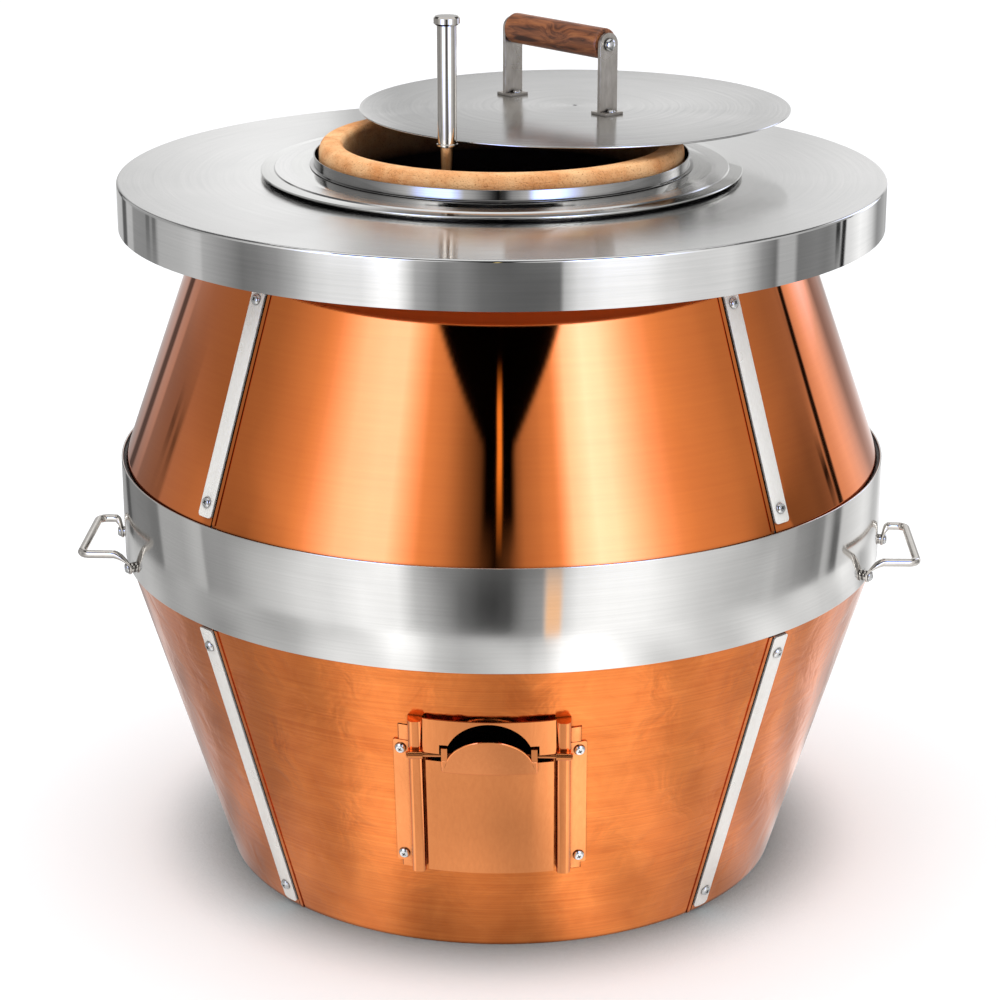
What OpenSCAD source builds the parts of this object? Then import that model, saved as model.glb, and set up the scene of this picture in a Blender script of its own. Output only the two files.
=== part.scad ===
// Gas tandoor: a clay pot in an insulated barrel of copper sheet, with a steel top, a belt, a fire door,
// a gas burner under a liftable guard, and a loose lid with a roller handle.
// The front, with the fire door, faces -Y. The origin is the centre of the base, on the floor.

/* [Lower shell] */
// Outer radius of the lower shell at the floor
base_r = 306.5; // [296:0.5:316]
// Outer radius of the lower shell where it meets the belt
belly_r = 410.5; // [404:0.5:416]
// Height of the lower shell under the belt
lower_h = 347; // [335:1:360]

/* [Upper shell] */
// Outer radius of the upper shell at the lower edge of the plate's flange
shoulder_r = 319.3; // [312:0.1:330]
// Height of the upper shell from the belt to the plate's flange
upper_h = 250.5; // [240:0.5:262]
// How far the upper shell starts inside the lower one
upper_step = 2.4; // [1:0.1:4]

/* [Sheets] */
// Thickness of the copper sheet
shell_t = 1.5; // [1:0.1:2.5]
// Width of the open seam beside each cover strip
seam_gap = 3; // [1.5:0.1:4]
// Width of the folded edge beside each seam
hem_w = 4; // [2:0.5:8]
// How far the folded edge stands proud of the sheet
hem_t = 1.2; // [0.6:0.1:2]
// How far the sheets reach in behind the belt
edge_lap = 3; // [2:0.1:3]

/* [Belt] */
// Height of the belt
belt_h = 108.5; // [96:0.5:120]
// Thickness of the belt
belt_t = 2; // [1.2:0.1:3]
// Gap between the lower shell's edge and the belt's inner face
belt_gap = 1.1; // [0.6:0.1:2]
// Small bevel on the belt's four edges
belt_bevel = 0.6; // [0.2:0.1:0.9]

/* [Cover strips] */
// Width of a cover strip
strip_w = 20; // [16:0.5:24]
// Thickness of a cover strip in its middle
strip_t = 3; // [2.4:0.1:4]
// How much a cover strip's middle stands above its edges
strip_crown = 0.8; // [0.3:0.1:1.2]
// Corner radius of a cover strip
strip_corner_r = 4; // [2:0.5:7]
// Gap between a strip's end and the belt or the floor
strip_end_gap = 6; // [4:0.5:10]
// Distance from a strip's end to its near screw, along the height
strip_screw_in = 20; // [14:0.5:30]
// Height of the upper strip's top screw below the plate's flange
strip_screw_drop = 34; // [24:1:60]
// How far the upper strips run up behind the flange
strip_tuck = 26; // [12:1:30]

/* [Top plate] */
// Radius of the top plate
plate_r = 406.4; // [396:0.1:412]
// Depth of the plate's turned down flange
plate_flange_h = 49.3; // [42:0.1:56]
// Thickness of the top plate
plate_t = 1.5; // [1.2:0.1:2]
// Outer bend radius between plate and flange
plate_bend_r = 2.6; // [2.2:0.1:5]
// Width of the folded lower edge of the flange
plate_hem_w = 3; // [2.2:0.1:5]
// Height of the folded lower edge of the flange
plate_hem_h = 2.4; // [1.6:0.1:4]

/* [Mouth ring] */
// Radius of the raised ring plate round the mouth
ring_r = 255; // [246:1:264]
// Height of the ring plate above the top plate
ring_rise = 9.7; // [8:0.1:12]
// Thickness of the ring plate
ring_t = 1.5; // [1:0.1:2]
// Depth of the ring plate's turned down lip
ring_lip_h = 7; // [4:0.5:7.5]
// How far the plate's raised seat stays inside the lip
ring_seat_in = 15; // [10:1:24]
// Outer radius of the collar round the clay rim
collar_r = 199.2; // [190:0.1:206]
// Height of the collar above the ring plate
collar_h = 11.5; // [8:0.5:14]
// Thickness of the collar
collar_t = 1.5; // [1:0.1:2]
// Width of the collar's foot on the ring plate
collar_foot_w = 4; // [3:0.5:8]
// How far the collar reaches down through the ring plate
collar_drop = 9; // [6:0.5:12]

/* [Clay pot] */
// Outer radius of the pot at its base
pot_base_r = 238; // [228:1:246]
// Outer radius of the pot at its widest
pot_belly_r = 300; // [288:1:308]
// Height of the widest place of the pot above the floor
pot_belly_z = 350; // [320:1:380]
// Length of the straight neck under the rim
pot_neck_h = 51.5; // [40:0.5:60]
// Thickness of the pot's wall
pot_wall = 26; // [20:0.5:30]
// Gap between the pot's neck and the collar
rope_gap = 4.2; // [3:0.1:6]
// Height of the rim above the collar
rim_rise = 13; // [9:0.5:18]
// How far the rim's rounded outer edge comes in
rim_round = 6.5; // [3:0.5:8]
// Depth of the rounded inner edge of the rim
rim_inner_drop = 6.5; // [3:0.5:9]

/* [Hearth] */
// Thickness of the base pan's floor and rim
pan_t = 3; // [2:0.5:4]
// Height of the base pan's rim
pan_rim_h = 30; // [20:1:40]
// Thickness of the refractory slab
slab_h = 45; // [35:1:52]
// Radius of the shallow well under the burner
well_r = 100; // [90:1:110]
// Depth of the well
well_d = 10; // [6:1:14]

/* [Frame] */
// Width of the upright posts behind the strips
post_w = 26; // [27:0.5:34]
// Thickness of the posts
post_t = 4; // [3:0.5:5]
// Thickness of the hoops
hoop_t = 3; // [2:0.5:4]
// Width of the middle hoop's flanges
hoop_flange_w = 12; // [9:0.5:16]
// Distance of the middle hoop from the belt's edges
hoop_inset = 3.5; // [3.2:0.1:3.6]
// Height of the top hoop's upright leg
top_hoop_h = 34; // [24:1:40]
// Width of the top hoop's flat leg
top_hoop_w = 28; // [20:1:34]

/* [Fire door] */
// Half the distance between the rails
rail_in_u = 66; // [62:0.5:70]
// Width of a rail
rail_w = 14.5; // [12:0.5:18]
// Height of a rail's face above the shell's front line
rail_front_n = 4; // [3:0.5:6]
// Corner radius of a rail's face
rail_round_r = 5; // [2:0.5:6]
// Lower end of the rails, along the shell from the floor
rail_low_v = 105; // [98:1:112]
// Distance of the rails' upper end from the belt, along the shell
rail_top_gap = 59.25; // [50:0.05:66]
// Width of the screwed strap outside each rail
strap_w = 15.5; // [13:0.5:19]
// Thickness of the strap
strap_t = 2; // [1.5:0.1:3]
// Distance of the strap's lower end from the rail's end
strap_low = 5; // [3:1:12]
// Distance of the strap's upper end from the rail's end
strap_top_gap = 33; // [28:1:42]
// Distance of the strap's screws from its ends
strap_screw_in = 10; // [8:1:16]
// Half width of the door plate
door_half_w = 63.5; // [60:0.5:64]
// Height of the door plate's face above the shell
door_face_n = 8; // [7:0.5:9]
// Thickness of the door plate
door_t = 2; // [1.5:0.1:2.5]
// Distance of the door plate's upper edge from the rail's end
door_top_gap = 52; // [50:1:58]
// Depth of the folded sides of the door plate
door_fold = 2.6; // [1.5:0.1:3]
// Distance from the door plate's upper edge to the hinge rod
hinge_drop = 10; // [8:0.5:12]
// Height of the hinge rod's axis above the shell's front line
hinge_n = 6.2; // [5.8:0.1:7]
// Radius of the hinge rod
hinge_rod_r = 2.2; // [1.8:0.1:2.6]
// Radial running clearance of the knuckles on the rod
hinge_clear = 0.06; // [0.02:0.01:0.1]
// Inner distance from the door's middle to a knuckle
knuckle_in_u = 41.5; // [40:0.5:42]
// Width of a knuckle
knuckle_w = 6; // [5:0.5:7]
// Height of a knuckle above the hinge axis
knuckle_rise = 11; // [7:0.5:12]
// How far the fire door swings open, in degrees
door_swing = 70; // [30:1:75]
// Radius of the thumb tab's round top
tab_r = 43.6; // [40:0.1:44]
// Half width of the thumb tab's straight foot
tab_half_w = 47.5; // [45:0.5:48]
// Height of the thumb tab's straight foot
tab_foot_h = 18; // [14:0.5:20]
// Height of the thumb tab
tab_h = 51; // [47:0.5:53]
// Thickness of the thumb tab
tab_t = 2; // [1.5:0.1:2.5]
// How far the thumb tab leans out, in degrees
tab_lean = 11; // [8:0.5:13]
// How far the thumb tab's foot laps over the door plate
tab_lap = 12.5; // [10:0.5:14]
// Height of the curved top plate's face above the shell
fascia_face_n = 12; // [11:0.5:13]
// Thickness of the curved top plate
fascia_t = 1.5; // [1.2:0.1:2]
// Height of the curved top plate
fascia_h = 38; // [35:0.5:40]
// Gap between thumb tab and arched cut-out
arch_gap = 1.8; // [1.4:0.1:2.2]
// Height of the land over the arched cut-out
arch_land = 2.5; // [1.5:0.1:4]
// Half width of the opening in the shell
port_half_w = 58; // [54:0.5:60]
// Thickness of the fire duct's sheet
duct_t = 2; // [1.5:0.1:3]
// Half width of the pot's air port
air_half_w = 50; // [40:1:54]
// Height of the pot's air port up to its arch
air_h = 62; // [50:1:70]

/* [Burner] */
// Radius of the burner
burner_r = 70; // [60:1:80]
// Height of the burner's bowl
burner_h = 32; // [26:1:38]
// Wall of the burner's bowl
burner_wall = 5; // [4:0.5:7]
// Height of the burner's cap over the bowl
cap_h = 12; // [9:0.5:16]
// Number of flame ports in the cap
port_count = 24; // [16:2:32]
// Radius of a flame port
port_r = 2.4; // [1.8:0.1:3]
// Height of the gas line above the floor
gas_z = 75; // [72:0.5:80]
// Outer radius of the mixing tube
mixer_r = 16; // [13:0.5:18]
// Wall of the mixing tube
mixer_wall = 3; // [2:0.5:4]
// Length of the mixing tube
mixer_len = 95; // [80:1:105]

/* [Gas line] */
// Outer radius of the gas pipe
pipe_r = 8; // [7:0.5:10]
// Bore radius of the gas pipe
pipe_bore_r = 5.5; // [4:0.5:6]
// Radius of the gland on the shell
gland_r = 21; // [18:0.5:24]
// How far the gland stands off the shell
gland_h = 8; // [6:0.5:12]
// Length of the gas tap's body
tap_len = 32; // [28:0.5:36]
// Radius of the gas tap's barrel
tap_r = 13; // [11:0.5:15]
// Width across the flats of the tap's hexagons
tap_flats = 27; // [25:0.5:30]
// Radius of the tap's spindle
spindle_r = 4; // [3:0.1:5]
// Radial running clearance of the spindle
spindle_clear = 0.06; // [0.02:0.01:0.1]
// Length of the tap's lever from its spindle
lever_len = 38; // [30:0.5:42]
// Width of the tap's lever
lever_w = 11; // [9:0.5:14]
// Thickness of the tap's lever
lever_t = 2.5; // [2:0.1:4]
// Radius of the inlet's threaded end, for a half inch pipe thread
inlet_r = 10.4775; // [8:0.0001:12]
// Length of the inlet's threaded end
inlet_len = 15; // [12:0.5:18]

/* [Burner guard] */
// Radius of the guard plate
guard_r = 150; // [140:1:156]
// Height of the guard plate above the slab
guard_h = 104; // [96:1:112]
// Thickness of the guard plate
guard_t = 3; // [2:0.5:4]
// Depth of the guard plate's turned down rim
guard_rim_h = 10; // [6:1:14]
// Radius of the guard's legs
guard_leg_r = 6; // [5:0.5:8]
// Distance of the legs from the middle
guard_leg_place_r = 124; // [112:1:132]
// Distance of the lifting rod from the middle
rod_place_r = 119; // [112:0.5:122]
// Direction of the lifting rod, from the right-hand side
rod_place_a = -116; // [-124:1:-108]
// Radius of the lifting rod
rod_r = 7; // [6:0.5:8]
// Height of the rod's cap above the top plate
rod_rise = 179.5; // [160:0.5:200]
// Radius of the hand sleeve
sleeve_r = 9.9; // [9:0.1:11]
// Length of the hand sleeve
sleeve_len = 120; // [100:1:130]
// Radius of the cap on the rod
rod_cap_r = 13.3; // [12:0.1:15]
// Height of the cap on the rod
rod_cap_h = 9; // [7:0.5:12]
// Height of the ring under the sleeve
sleeve_ring_h = 3.5; // [2.5:0.5:5]
// Radius of the ring under the sleeve
sleeve_ring_r = 10.9; // [10.2:0.1:12]
// Height of the socket that holds the rod
socket_h = 20; // [14:1:26]

/* [Lid] */
// Radius of the lid
lid_r = 235.8; // [225:0.1:240]
// Thickness of the lid's plate
lid_t = 2; // [1.5:0.1:3]
// Place of the lid's middle to the right of the pot's middle
lid_x = 76.6; // [72:0.1:84]
// Place of the lid's middle behind the pot's middle
lid_y = 112.1; // [106:0.1:118]
// Radius of the pan under the lid
lid_pan_r = 158; // [148:1:164]
// Depth of the pan under the lid
lid_pan_h = 13.7; // [11:0.1:18]
// Thickness of the pan's sheet
lid_pan_t = 1.5; // [1:0.1:2]
// Width of the pan's flange
lid_pan_flange = 8; // [5:0.5:12]

/* [Lid handle] */
// Place of the handle's middle to the left of the lid's middle
handle_dx = -17.4; // [-24:0.1:-10]
// Place of the handle's middle behind the lid's middle
handle_dy = 7.3; // [2:0.1:12]
// Direction of the handle, from the right-hand side
handle_a = -48.3; // [-55:0.1:-42]
// Distance between the brackets' middles
bracket_span = 157.7; // [140:0.1:170]
// Width of a bracket
bracket_w = 25; // [22:0.5:28]
// Thickness of a bracket
bracket_t = 4; // [3:0.5:5]
// Height of the bolt above the lid
bolt_h = 75; // [65:0.5:84]
// Length of a bracket's foot along the handle
foot_len = 23.5; // [22:0.5:28]
// Thickness of a bracket's foot
foot_t = 3; // [2:0.5:4]
// Radius of the wooden roller
grip_r = 16.5; // [14:0.5:19]
// Rounding of the wooden roller's ends
grip_round = 2.5; // [1:0.5:4]
// Radius of the bolt through the roller
grip_bolt_r = 4; // [3:0.5:5]
// Radial running clearance of the roller on its bolt
grip_clear = 0.08; // [0.03:0.01:0.1]
// Radius of the washers beside the roller
washer_r = 12; // [9:0.5:14]
// Thickness of a washer
washer_t = 1.6; // [1:0.1:2.5]

/* [Side handles] */
// How far the hand bars stand out from the belt
bar_out = 27.9; // [24:0.1:36]
// How far the hand bars' middles lie in front of the pot's middle
bar_forward = 92; // [84:1:98]
// Half the distance between a handle's arms
bar_half = 59; // [50:0.5:66]
// Height of the hand bars above the belt's lower edge
bar_up = 25; // [22:0.5:30]
// Radius of the handle's rod
bar_r = 4.3; // [3.5:0.1:5]
// Bend radius of the rod's corners
bar_bend_r = 9; // [6:0.5:12]
// Distance of the front arm's root from the belt
front_root_gap = 18; // [14:0.5:22]
// Distance of the rear arm's root from the belt
rear_root_gap = 9; // [8:0.5:11]
// Width of the flattened ends
ear_w = 14; // [13:0.5:17]
// Thickness of the flattened ends
ear_t = 3; // [2:0.5:4]
// Thickness of the washers behind the flattened ends
ear_gap = 3; // [2:0.5:4]
// Height of the handle screws above the belt's lower edge
ear_screw_up = 10; // [10:0.5:12]

/* [Screws] */
// Head radius of the shell's screws
screw_head_r = 5.8; // [5:0.1:6.5]
// Head height of the shell's screws
screw_head_h = 3.4; // [2.4:0.1:4]
// Shank radius of the shell's screws
screw_r = 3; // [2.4:0.1:3.4]
// Length of a strip's screw under its head
screw_len = 9.5; // [9:0.1:9.6]
// Head radius of the lid's small screws
lid_screw_head_r = 4.4; // [3.6:0.1:5]
// Shank radius of the lid's small screws
lid_screw_r = 2.5; // [2:0.1:3]

/* [Hidden] */
$fn = 96;
small_fn = 40;

// Clearances shared by the whole part
fit_gap = 0.1;
free_gap = 0.3;
overrun = 1;
hole_clear = 0.3;

// Levels above the floor
belt_z0 = lower_h;
belt_z1 = lower_h + belt_h;
flange_z = belt_z1 + upper_h;
plate_z = flange_z + plate_flange_h;
ring_z = plate_z + ring_rise;
collar_z = ring_z + collar_h;
rim_z = collar_z + rim_rise;
slab_z = pan_t + slab_h;
split_z = (belt_z0 + belt_z1) / 2;

// Radii and leans that follow from the driving sizes
upper_base_r = belly_r - upper_step;
belt_in_r = belly_r + belt_gap;
belt_r = belt_in_r + belt_t;
lower_lean = atan((belly_r - base_r) / lower_h);
upper_lean = atan((upper_base_r - shoulder_r) / upper_h);
lower_skin = shell_t / cos(lower_lean);
upper_skin = shell_t / cos(upper_lean);
hoop_r = belt_in_r - fit_gap;
hoop_in_r = hoop_r - hoop_flange_w;
neck_r = collar_r - collar_t - rope_gap;
reach = 2 * belt_r;

PANEL_A = [-90, 0, 90, 180];
STRIP_A = [-45, 45, 135, -135];
COPPER = [0.80, 0.45, 0.25];
STEEL = [0.76, 0.76, 0.75];
DARK_STEEL = [0.42, 0.42, 0.43];
CLAY = [0.78, 0.55, 0.37];
WOOD = [0.48, 0.25, 0.12];
IRON = [0.2, 0.2, 0.21];
BRASS = [0.78, 0.62, 0.3];

// Outer radius of the lower and upper shell at a height
function r_low(z) = base_r + (belly_r - base_r) * z / lower_h;
function r_up(z) = upper_base_r - (upper_base_r - shoulder_r) * (z - belt_z1) / upper_h;

// Lengths and levels of the fire door, along the shell from the floor, and heights of its duct
rail_len = lower_h / cos(lower_lean) - rail_low_v - rail_top_gap;
strap_len = rail_len - strap_low - strap_top_gap;
door_len = rail_len - door_top_gap;
port_low_v = rail_low_v + strap_low + duct_t;
hinge_v = rail_low_v + door_fold + door_len + hinge_drop;
door_low_v = rail_low_v + door_fold;
door_bend_r = r_low((port_low_v + rail_len / 2) * cos(lower_lean)) / cos(lower_lean);
fascia_top_v = rail_low_v + rail_len + door_fold / 2;
tab_low_v = door_low_v + door_len - tab_lap;
tab_centre_v = tab_low_v + tab_h - tab_r;
arch_r = tab_r + arch_gap;
arch_centre_v = fascia_top_v - arch_land - arch_r;
knuckle_top_v = hinge_v + knuckle_rise;
duct_z0 = port_low_v * cos(lower_lean) - 2 * duct_t;
duct_z1 = (arch_centre_v + arch_r) * cos(lower_lean) + duct_t;

// A band that follows a shell, between two depths measured inwards from its outer face
module lower_band(z0, z1, outer, inner)
    rotate_extrude()
        polygon([
            [r_low(z0) - outer, z0], [r_low(z1) - outer, z1],
            [r_low(z1) - inner, z1], [r_low(z0) - inner, z0]
        ]);

module upper_band(z0, z1, outer, inner)
    rotate_extrude()
        polygon([
            [r_up(z0) - outer, z0], [r_up(z1) - outer, z1],
            [r_up(z1) - inner, z1], [r_up(z0) - inner, z0]
        ]);

// Everything inside the lower shell's outer face
module lower_core()
    rotate_extrude($fn = 8 * $fn)
        polygon([[0, -overrun], [r_low(-overrun), -overrun], [belly_r, lower_h], [0, lower_h]]);

// A quarter of the plan, its two sides moved in by inset
module quarter(az, inset)
    rotate([0, 0, az])
        translate([inset * sqrt(2), 0, -overrun])
            linear_extrude(height = rim_z)
                polygon([[0, 0], [reach, -reach], [reach, reach]]);

// Local frames on the shells: x out of the sheet, y round the body, z up the sheet
module on_lower(az, z)
    rotate([0, 0, az])
        translate([r_low(z), 0, z])
            rotate([0, lower_lean, 0])
                children();

module on_upper(az, z)
    rotate([0, 0, az])
        translate([r_up(z), 0, z])
            rotate([0, -upper_lean, 0])
                children();

// A drawing in the y and z plane, with thickness along x
module face(t)
    rotate([90, 0, 90])
        linear_extrude(height = t)
            children();

// A rod along x, from the origin
module x_rod(r, len)
    rotate([0, 90, 0])
        cylinder(r = r, h = len);

// A rod along y, centred
module y_rod(r, len)
    rotate([90, 0, 0])
        cylinder(r = r, h = len, center = true);

// A rectangle with round corners, standing on the x axis
module round_rect(w, h, r) {
    translate([-w / 2 + r, 0])
        square([w - 2 * r, h]);
    translate([-w / 2, r])
        square([w, h - 2 * r]);
    for (x = [-w / 2 + r, w / 2 - r])
        for (y = [r, h - r])
            translate([x, y])
                circle(r = r, $fn = small_fn);
}

// A pan head screw along x, its head's seat at the origin
DOME_STEPS = 5;
module pan_screw(head_r, head_h, shank_r, len) {
    edge = head_h / 3;
    rotate([0, 90, 0])
        rotate_extrude($fn = small_fn)
            polygon(concat(
                [[0, -len], [shank_r, -len], [shank_r, 0], [head_r, 0]],
                [for (i = [0:DOME_STEPS - 1])
                    [head_r * cos(i * 90 / DOME_STEPS), edge + (head_h - edge) * sin(i * 90 / DOME_STEPS)]],
                [[0, head_h]]
            ));
}

// Base pan, hearth slab and pot

rim_out = lower_skin + fit_gap;

module base_pan()
    color(DARK_STEEL)
        difference() {
            rotate_extrude()
                polygon([
                    [0, 0], [r_low(0) - rim_out, 0], [r_low(pan_rim_h) - rim_out, pan_rim_h],
                    [r_low(pan_rim_h) - rim_out - pan_t, pan_rim_h], [r_low(pan_t) - rim_out - pan_t, pan_t],
                    [0, pan_t]
                ]);
            strip_holes();
        }

module hearth_slab()
    color([0.72, 0.66, 0.58])
        difference() {
            translate([0, 0, pan_t])
                cylinder(r = r_low(pan_t) - rim_out - pan_t - free_gap, h = slab_h);
            translate([0, 0, slab_z - well_d])
                cylinder(r = well_r, h = well_d + overrun);
        }

// The pot swells from its base to the belly and draws in to a straight neck
POT_STEPS = 10;
pot_neck_z = collar_z - pot_neck_h;
function pot_r(z) =
    z < pot_belly_z
        ? pot_belly_r - (pot_belly_r - pot_base_r) * (1 - cos(90 * (pot_belly_z - z) / (pot_belly_z - slab_z)))
        : z < pot_neck_z
            ? pot_belly_r - (pot_belly_r - neck_r) * (1 - cos(90 * (z - pot_belly_z) / (pot_neck_z - pot_belly_z)))
            : neck_r;
pot_levels = concat(
    [for (i = [0:POT_STEPS - 1]) slab_z + (pot_belly_z - slab_z) * i / POT_STEPS],
    [for (i = [0:POT_STEPS]) pot_belly_z + (pot_neck_z - pot_belly_z) * i / POT_STEPS]
);
RIM_STEPS = 6;

module pot_body(grow)
    rotate_extrude()
        polygon(concat(
            [[0, slab_z]],
            [for (z = pot_levels) [pot_r(z) + grow, z]],
            [[neck_r + grow, collar_z], [0, collar_z]]
        ));

air_z = duct_z0 + duct_t;

module air_port(grow)
    translate([0, -pot_base_r / 2, air_z]) {
        rotate([90, 0, 0])
            linear_extrude(height = belt_r)
                translate([-air_half_w - grow, -grow])
                    square([2 * (air_half_w + grow), air_h + grow]);
        rotate([90, 0, 0])
            linear_extrude(height = belt_r)
                translate([0, air_h])
                    circle(r = air_half_w + grow);
    }

module pipe_way(r)
    translate([0, pot_base_r / 2, gas_z])
        rotate([-90, 0, 0])
            cylinder(r = r, h = belt_r, $fn = small_fn);

module clay_pot()
    color(CLAY)
        difference() {
            rotate_extrude()
                polygon(concat(
                    [for (z = pot_levels) [pot_r(z), z]],
                    [for (i = [0:RIM_STEPS])
                        [neck_r - rim_round + rim_round * cos(i * 90 / RIM_STEPS),
                         collar_z + rim_rise * sin(i * 90 / RIM_STEPS)]],
                    [for (i = [0:RIM_STEPS])
                        [neck_r - pot_wall + rim_round * (1 - sin(i * 90 / RIM_STEPS)),
                         rim_z - rim_inner_drop * (1 - cos(i * 90 / RIM_STEPS))]],
                    [for (i = [len(pot_levels) - 1:-1:0]) [pot_r(pot_levels[i]) - pot_wall, pot_levels[i]]]
                ));
            air_port(0);
            pipe_way(mixer_r);
        }

// Insulation between pot and shells, in two rings

skin_depth = 2 * fit_gap + shell_t + post_t + overrun;
FILL_STEPS = 8;
fill_top_z = plate_z - plate_t - hoop_t - free_gap;
function fill_r(z) =
    min(min(r_low(z) - skin_depth / cos(lower_lean), r_up(z) - skin_depth / cos(upper_lean)),
        hoop_in_r - overrun);

module fill_ring(z0, z1) {
    levels = [for (i = [0:FILL_STEPS]) z0 + (z1 - z0) * i / FILL_STEPS];
    rotate_extrude()
        polygon(concat(
            [for (z = levels) [fill_r(z), z]],
            [for (i = [FILL_STEPS:-1:0]) [pot_r(levels[i]) + free_gap * 3, levels[i]]]
        ));
}

module lower_insulation()
    color([0.9, 0.88, 0.82])
        difference() {
            fill_ring(slab_z, split_z);
            duct_block(free_gap);
            pipe_way(mixer_r);
        }

module upper_insulation()
    color([0.9, 0.88, 0.82])
        fill_ring(split_z, fill_top_z);

// Frame: posts behind the strips, a channel hoop behind the belt, an angle hoop under the plate

hoop_z0 = belt_z0 + hoop_inset;
hoop_z1 = belt_z1 - hoop_inset;
top_hoop_z = plate_z - plate_t - top_hoop_h;

module level_slab(z0, z1)
    translate([-reach / 2, -reach / 2, z0])
        cube([reach, reach, z1 - z0]);

module lower_posts()
    color(DARK_STEEL)
        difference() {
            intersection() {
                for (a = STRIP_A)
                    on_lower(a, 0)
                        translate([-shell_t - free_gap - post_t, -post_w / 2, 0])
                            cube([post_t, post_w, 2 * lower_h]);
                level_slab(pan_rim_h + free_gap, hoop_z0 - fit_gap);
            }
            strip_holes();
        }

module upper_posts()
    color(DARK_STEEL)
        difference() {
            intersection() {
                for (a = STRIP_A)
                    on_upper(a, belt_z0)
                        translate([-shell_t - free_gap - post_t, -post_w / 2, 0])
                            cube([post_t, post_w, 2 * upper_h]);
                level_slab(hoop_z1 + fit_gap, top_hoop_z - fit_gap);
            }
            strip_holes();
        }

module mid_hoop()
    color(DARK_STEEL)
        difference() {
            rotate_extrude()
                polygon([
                    [hoop_r, hoop_z0], [hoop_r, hoop_z1], [hoop_in_r, hoop_z1], [hoop_in_r, hoop_z1 - hoop_t],
                    [hoop_r - hoop_t, hoop_z1 - hoop_t], [hoop_r - hoop_t, hoop_z0 + hoop_t],
                    [hoop_in_r, hoop_z0 + hoop_t], [hoop_in_r, hoop_z0]
                ]);
            ear_holes();
        }

module top_hoop() {
    z1 = plate_z - plate_t;
    out = upper_skin + fit_gap;
    color(DARK_STEEL)
        rotate_extrude()
            polygon([
                [r_up(top_hoop_z) - out, top_hoop_z], [r_up(z1) - out, z1], [r_up(z1) - out - top_hoop_w, z1],
                [r_up(z1) - out - top_hoop_w, z1 - hoop_t], [r_up(z1 - hoop_t) - out - hoop_t, z1 - hoop_t],
                [r_up(top_hoop_z) - out - hoop_t, top_hoop_z]
            ]);
}

// Shell panels. The front and rear ones end short of the strips with a folded edge.
// The side ones run under the strips.

lower_screw_z = [strip_end_gap + strip_screw_in, lower_h - strip_end_gap - strip_screw_in + hoop_t];
upper_screw_z = [belt_z1 + strip_end_gap + strip_screw_in - 2 * hoop_t, flange_z - strip_screw_drop];
upper_edge_z = plate_z - plate_t - 2 * hoop_t;

module strip_holes() {
    for (a = STRIP_A) {
        for (z = lower_screw_z)
            on_lower(a, z)
                translate([-2 * screw_len, 0, 0])
                    x_rod(screw_r + hole_clear, 4 * screw_len, $fn = small_fn);
        for (z = upper_screw_z)
            on_upper(a, z)
                translate([-2 * screw_len, 0, 0])
                    x_rod(screw_r + hole_clear, 4 * screw_len, $fn = small_fn);
    }
}

front_inset = strip_w / 2 + seam_gap;
side_inset = -strip_w / 2;

module lower_panel(az, inset, hemmed) {
    intersection() {
        lower_band(0, lower_h + edge_lap, 0, lower_skin);
        quarter(az, inset);
    }
    if (hemmed)
        intersection() {
            lower_band(0, lower_h - 2 * hem_t, -hem_t, lower_skin / 2);
            difference() {
                quarter(az, inset);
                quarter(az, inset + hem_w);
            }
        }
}

module upper_panel(az, inset, hemmed) {
    intersection() {
        upper_band(belt_z1 - edge_lap, upper_edge_z, 0, upper_skin);
        quarter(az, inset);
    }
    if (hemmed)
        intersection() {
            upper_band(belt_z1 + hem_t, upper_edge_z, -hem_t, upper_skin / 2);
            difference() {
                quarter(az, inset);
                quarter(az, inset + hem_w);
            }
        }
}

module lower_panel_front()
    color(COPPER)
        difference() {
            lower_panel(PANEL_A[0], front_inset, true);
            fire_port();
            door_screw_holes();
        }

module lower_panel_side(i)
    color(COPPER)
        difference() {
            lower_panel(PANEL_A[i], side_inset, false);
            strip_holes();
        }

module lower_panel_rear()
    color(COPPER)
        difference() {
            lower_panel(PANEL_A[2], front_inset, true);
            pipe_way(pipe_r + hole_clear);
        }

module upper_panel_wide(i)
    color(COPPER)
        upper_panel(PANEL_A[i], front_inset, true);

module upper_panel_side(i)
    color(COPPER)
        difference() {
            upper_panel(PANEL_A[i], side_inset, false);
            strip_holes();
        }

// Cover strips: flat below, slightly crowned above, with round corners

crown_r = (pow(strip_w / 2, 2) + pow(strip_crown, 2)) / (2 * strip_crown);

module strip_bar(len)
    intersection() {
        face(strip_t + overrun)
            round_rect(strip_w, len, strip_corner_r);
        translate([strip_t - crown_r, 0, -overrun])
            cylinder(r = crown_r, h = len + 2 * overrun, $fn = 4 * $fn);
    }

module lower_strip(i)
    color(STEEL)
        difference() {
            on_lower(STRIP_A[i], strip_end_gap)
                strip_bar((lower_h - strip_end_gap - edge_lap) / cos(lower_lean));
            strip_holes();
        }

module upper_strip(i)
    color(STEEL)
        difference() {
            on_upper(STRIP_A[i], belt_z1 + strip_end_gap)
                strip_bar((flange_z + strip_tuck - belt_z1 - strip_end_gap) / cos(upper_lean));
            strip_holes();
        }

// Belt and side handles

module belt()
    color(STEEL)
        difference() {
            rotate_extrude()
                polygon([
                    [belt_in_r, belt_z0 + belt_bevel], [belt_in_r + belt_bevel, belt_z0],
                    [belt_r - belt_bevel, belt_z0], [belt_r, belt_z0 + belt_bevel],
                    [belt_r, belt_z1 - belt_bevel], [belt_r - belt_bevel, belt_z1],
                    [belt_in_r + belt_bevel, belt_z1], [belt_in_r, belt_z1 - belt_bevel]
                ]);
            ear_holes();
        }

bar_z = belt_z0 + bar_up;
ear_z = belt_z0 + ear_screw_up;
ear_in_r = belt_r + ear_gap;
ear_out_r = ear_in_r + ear_t;
bar_x = belt_r + bar_out;

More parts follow.
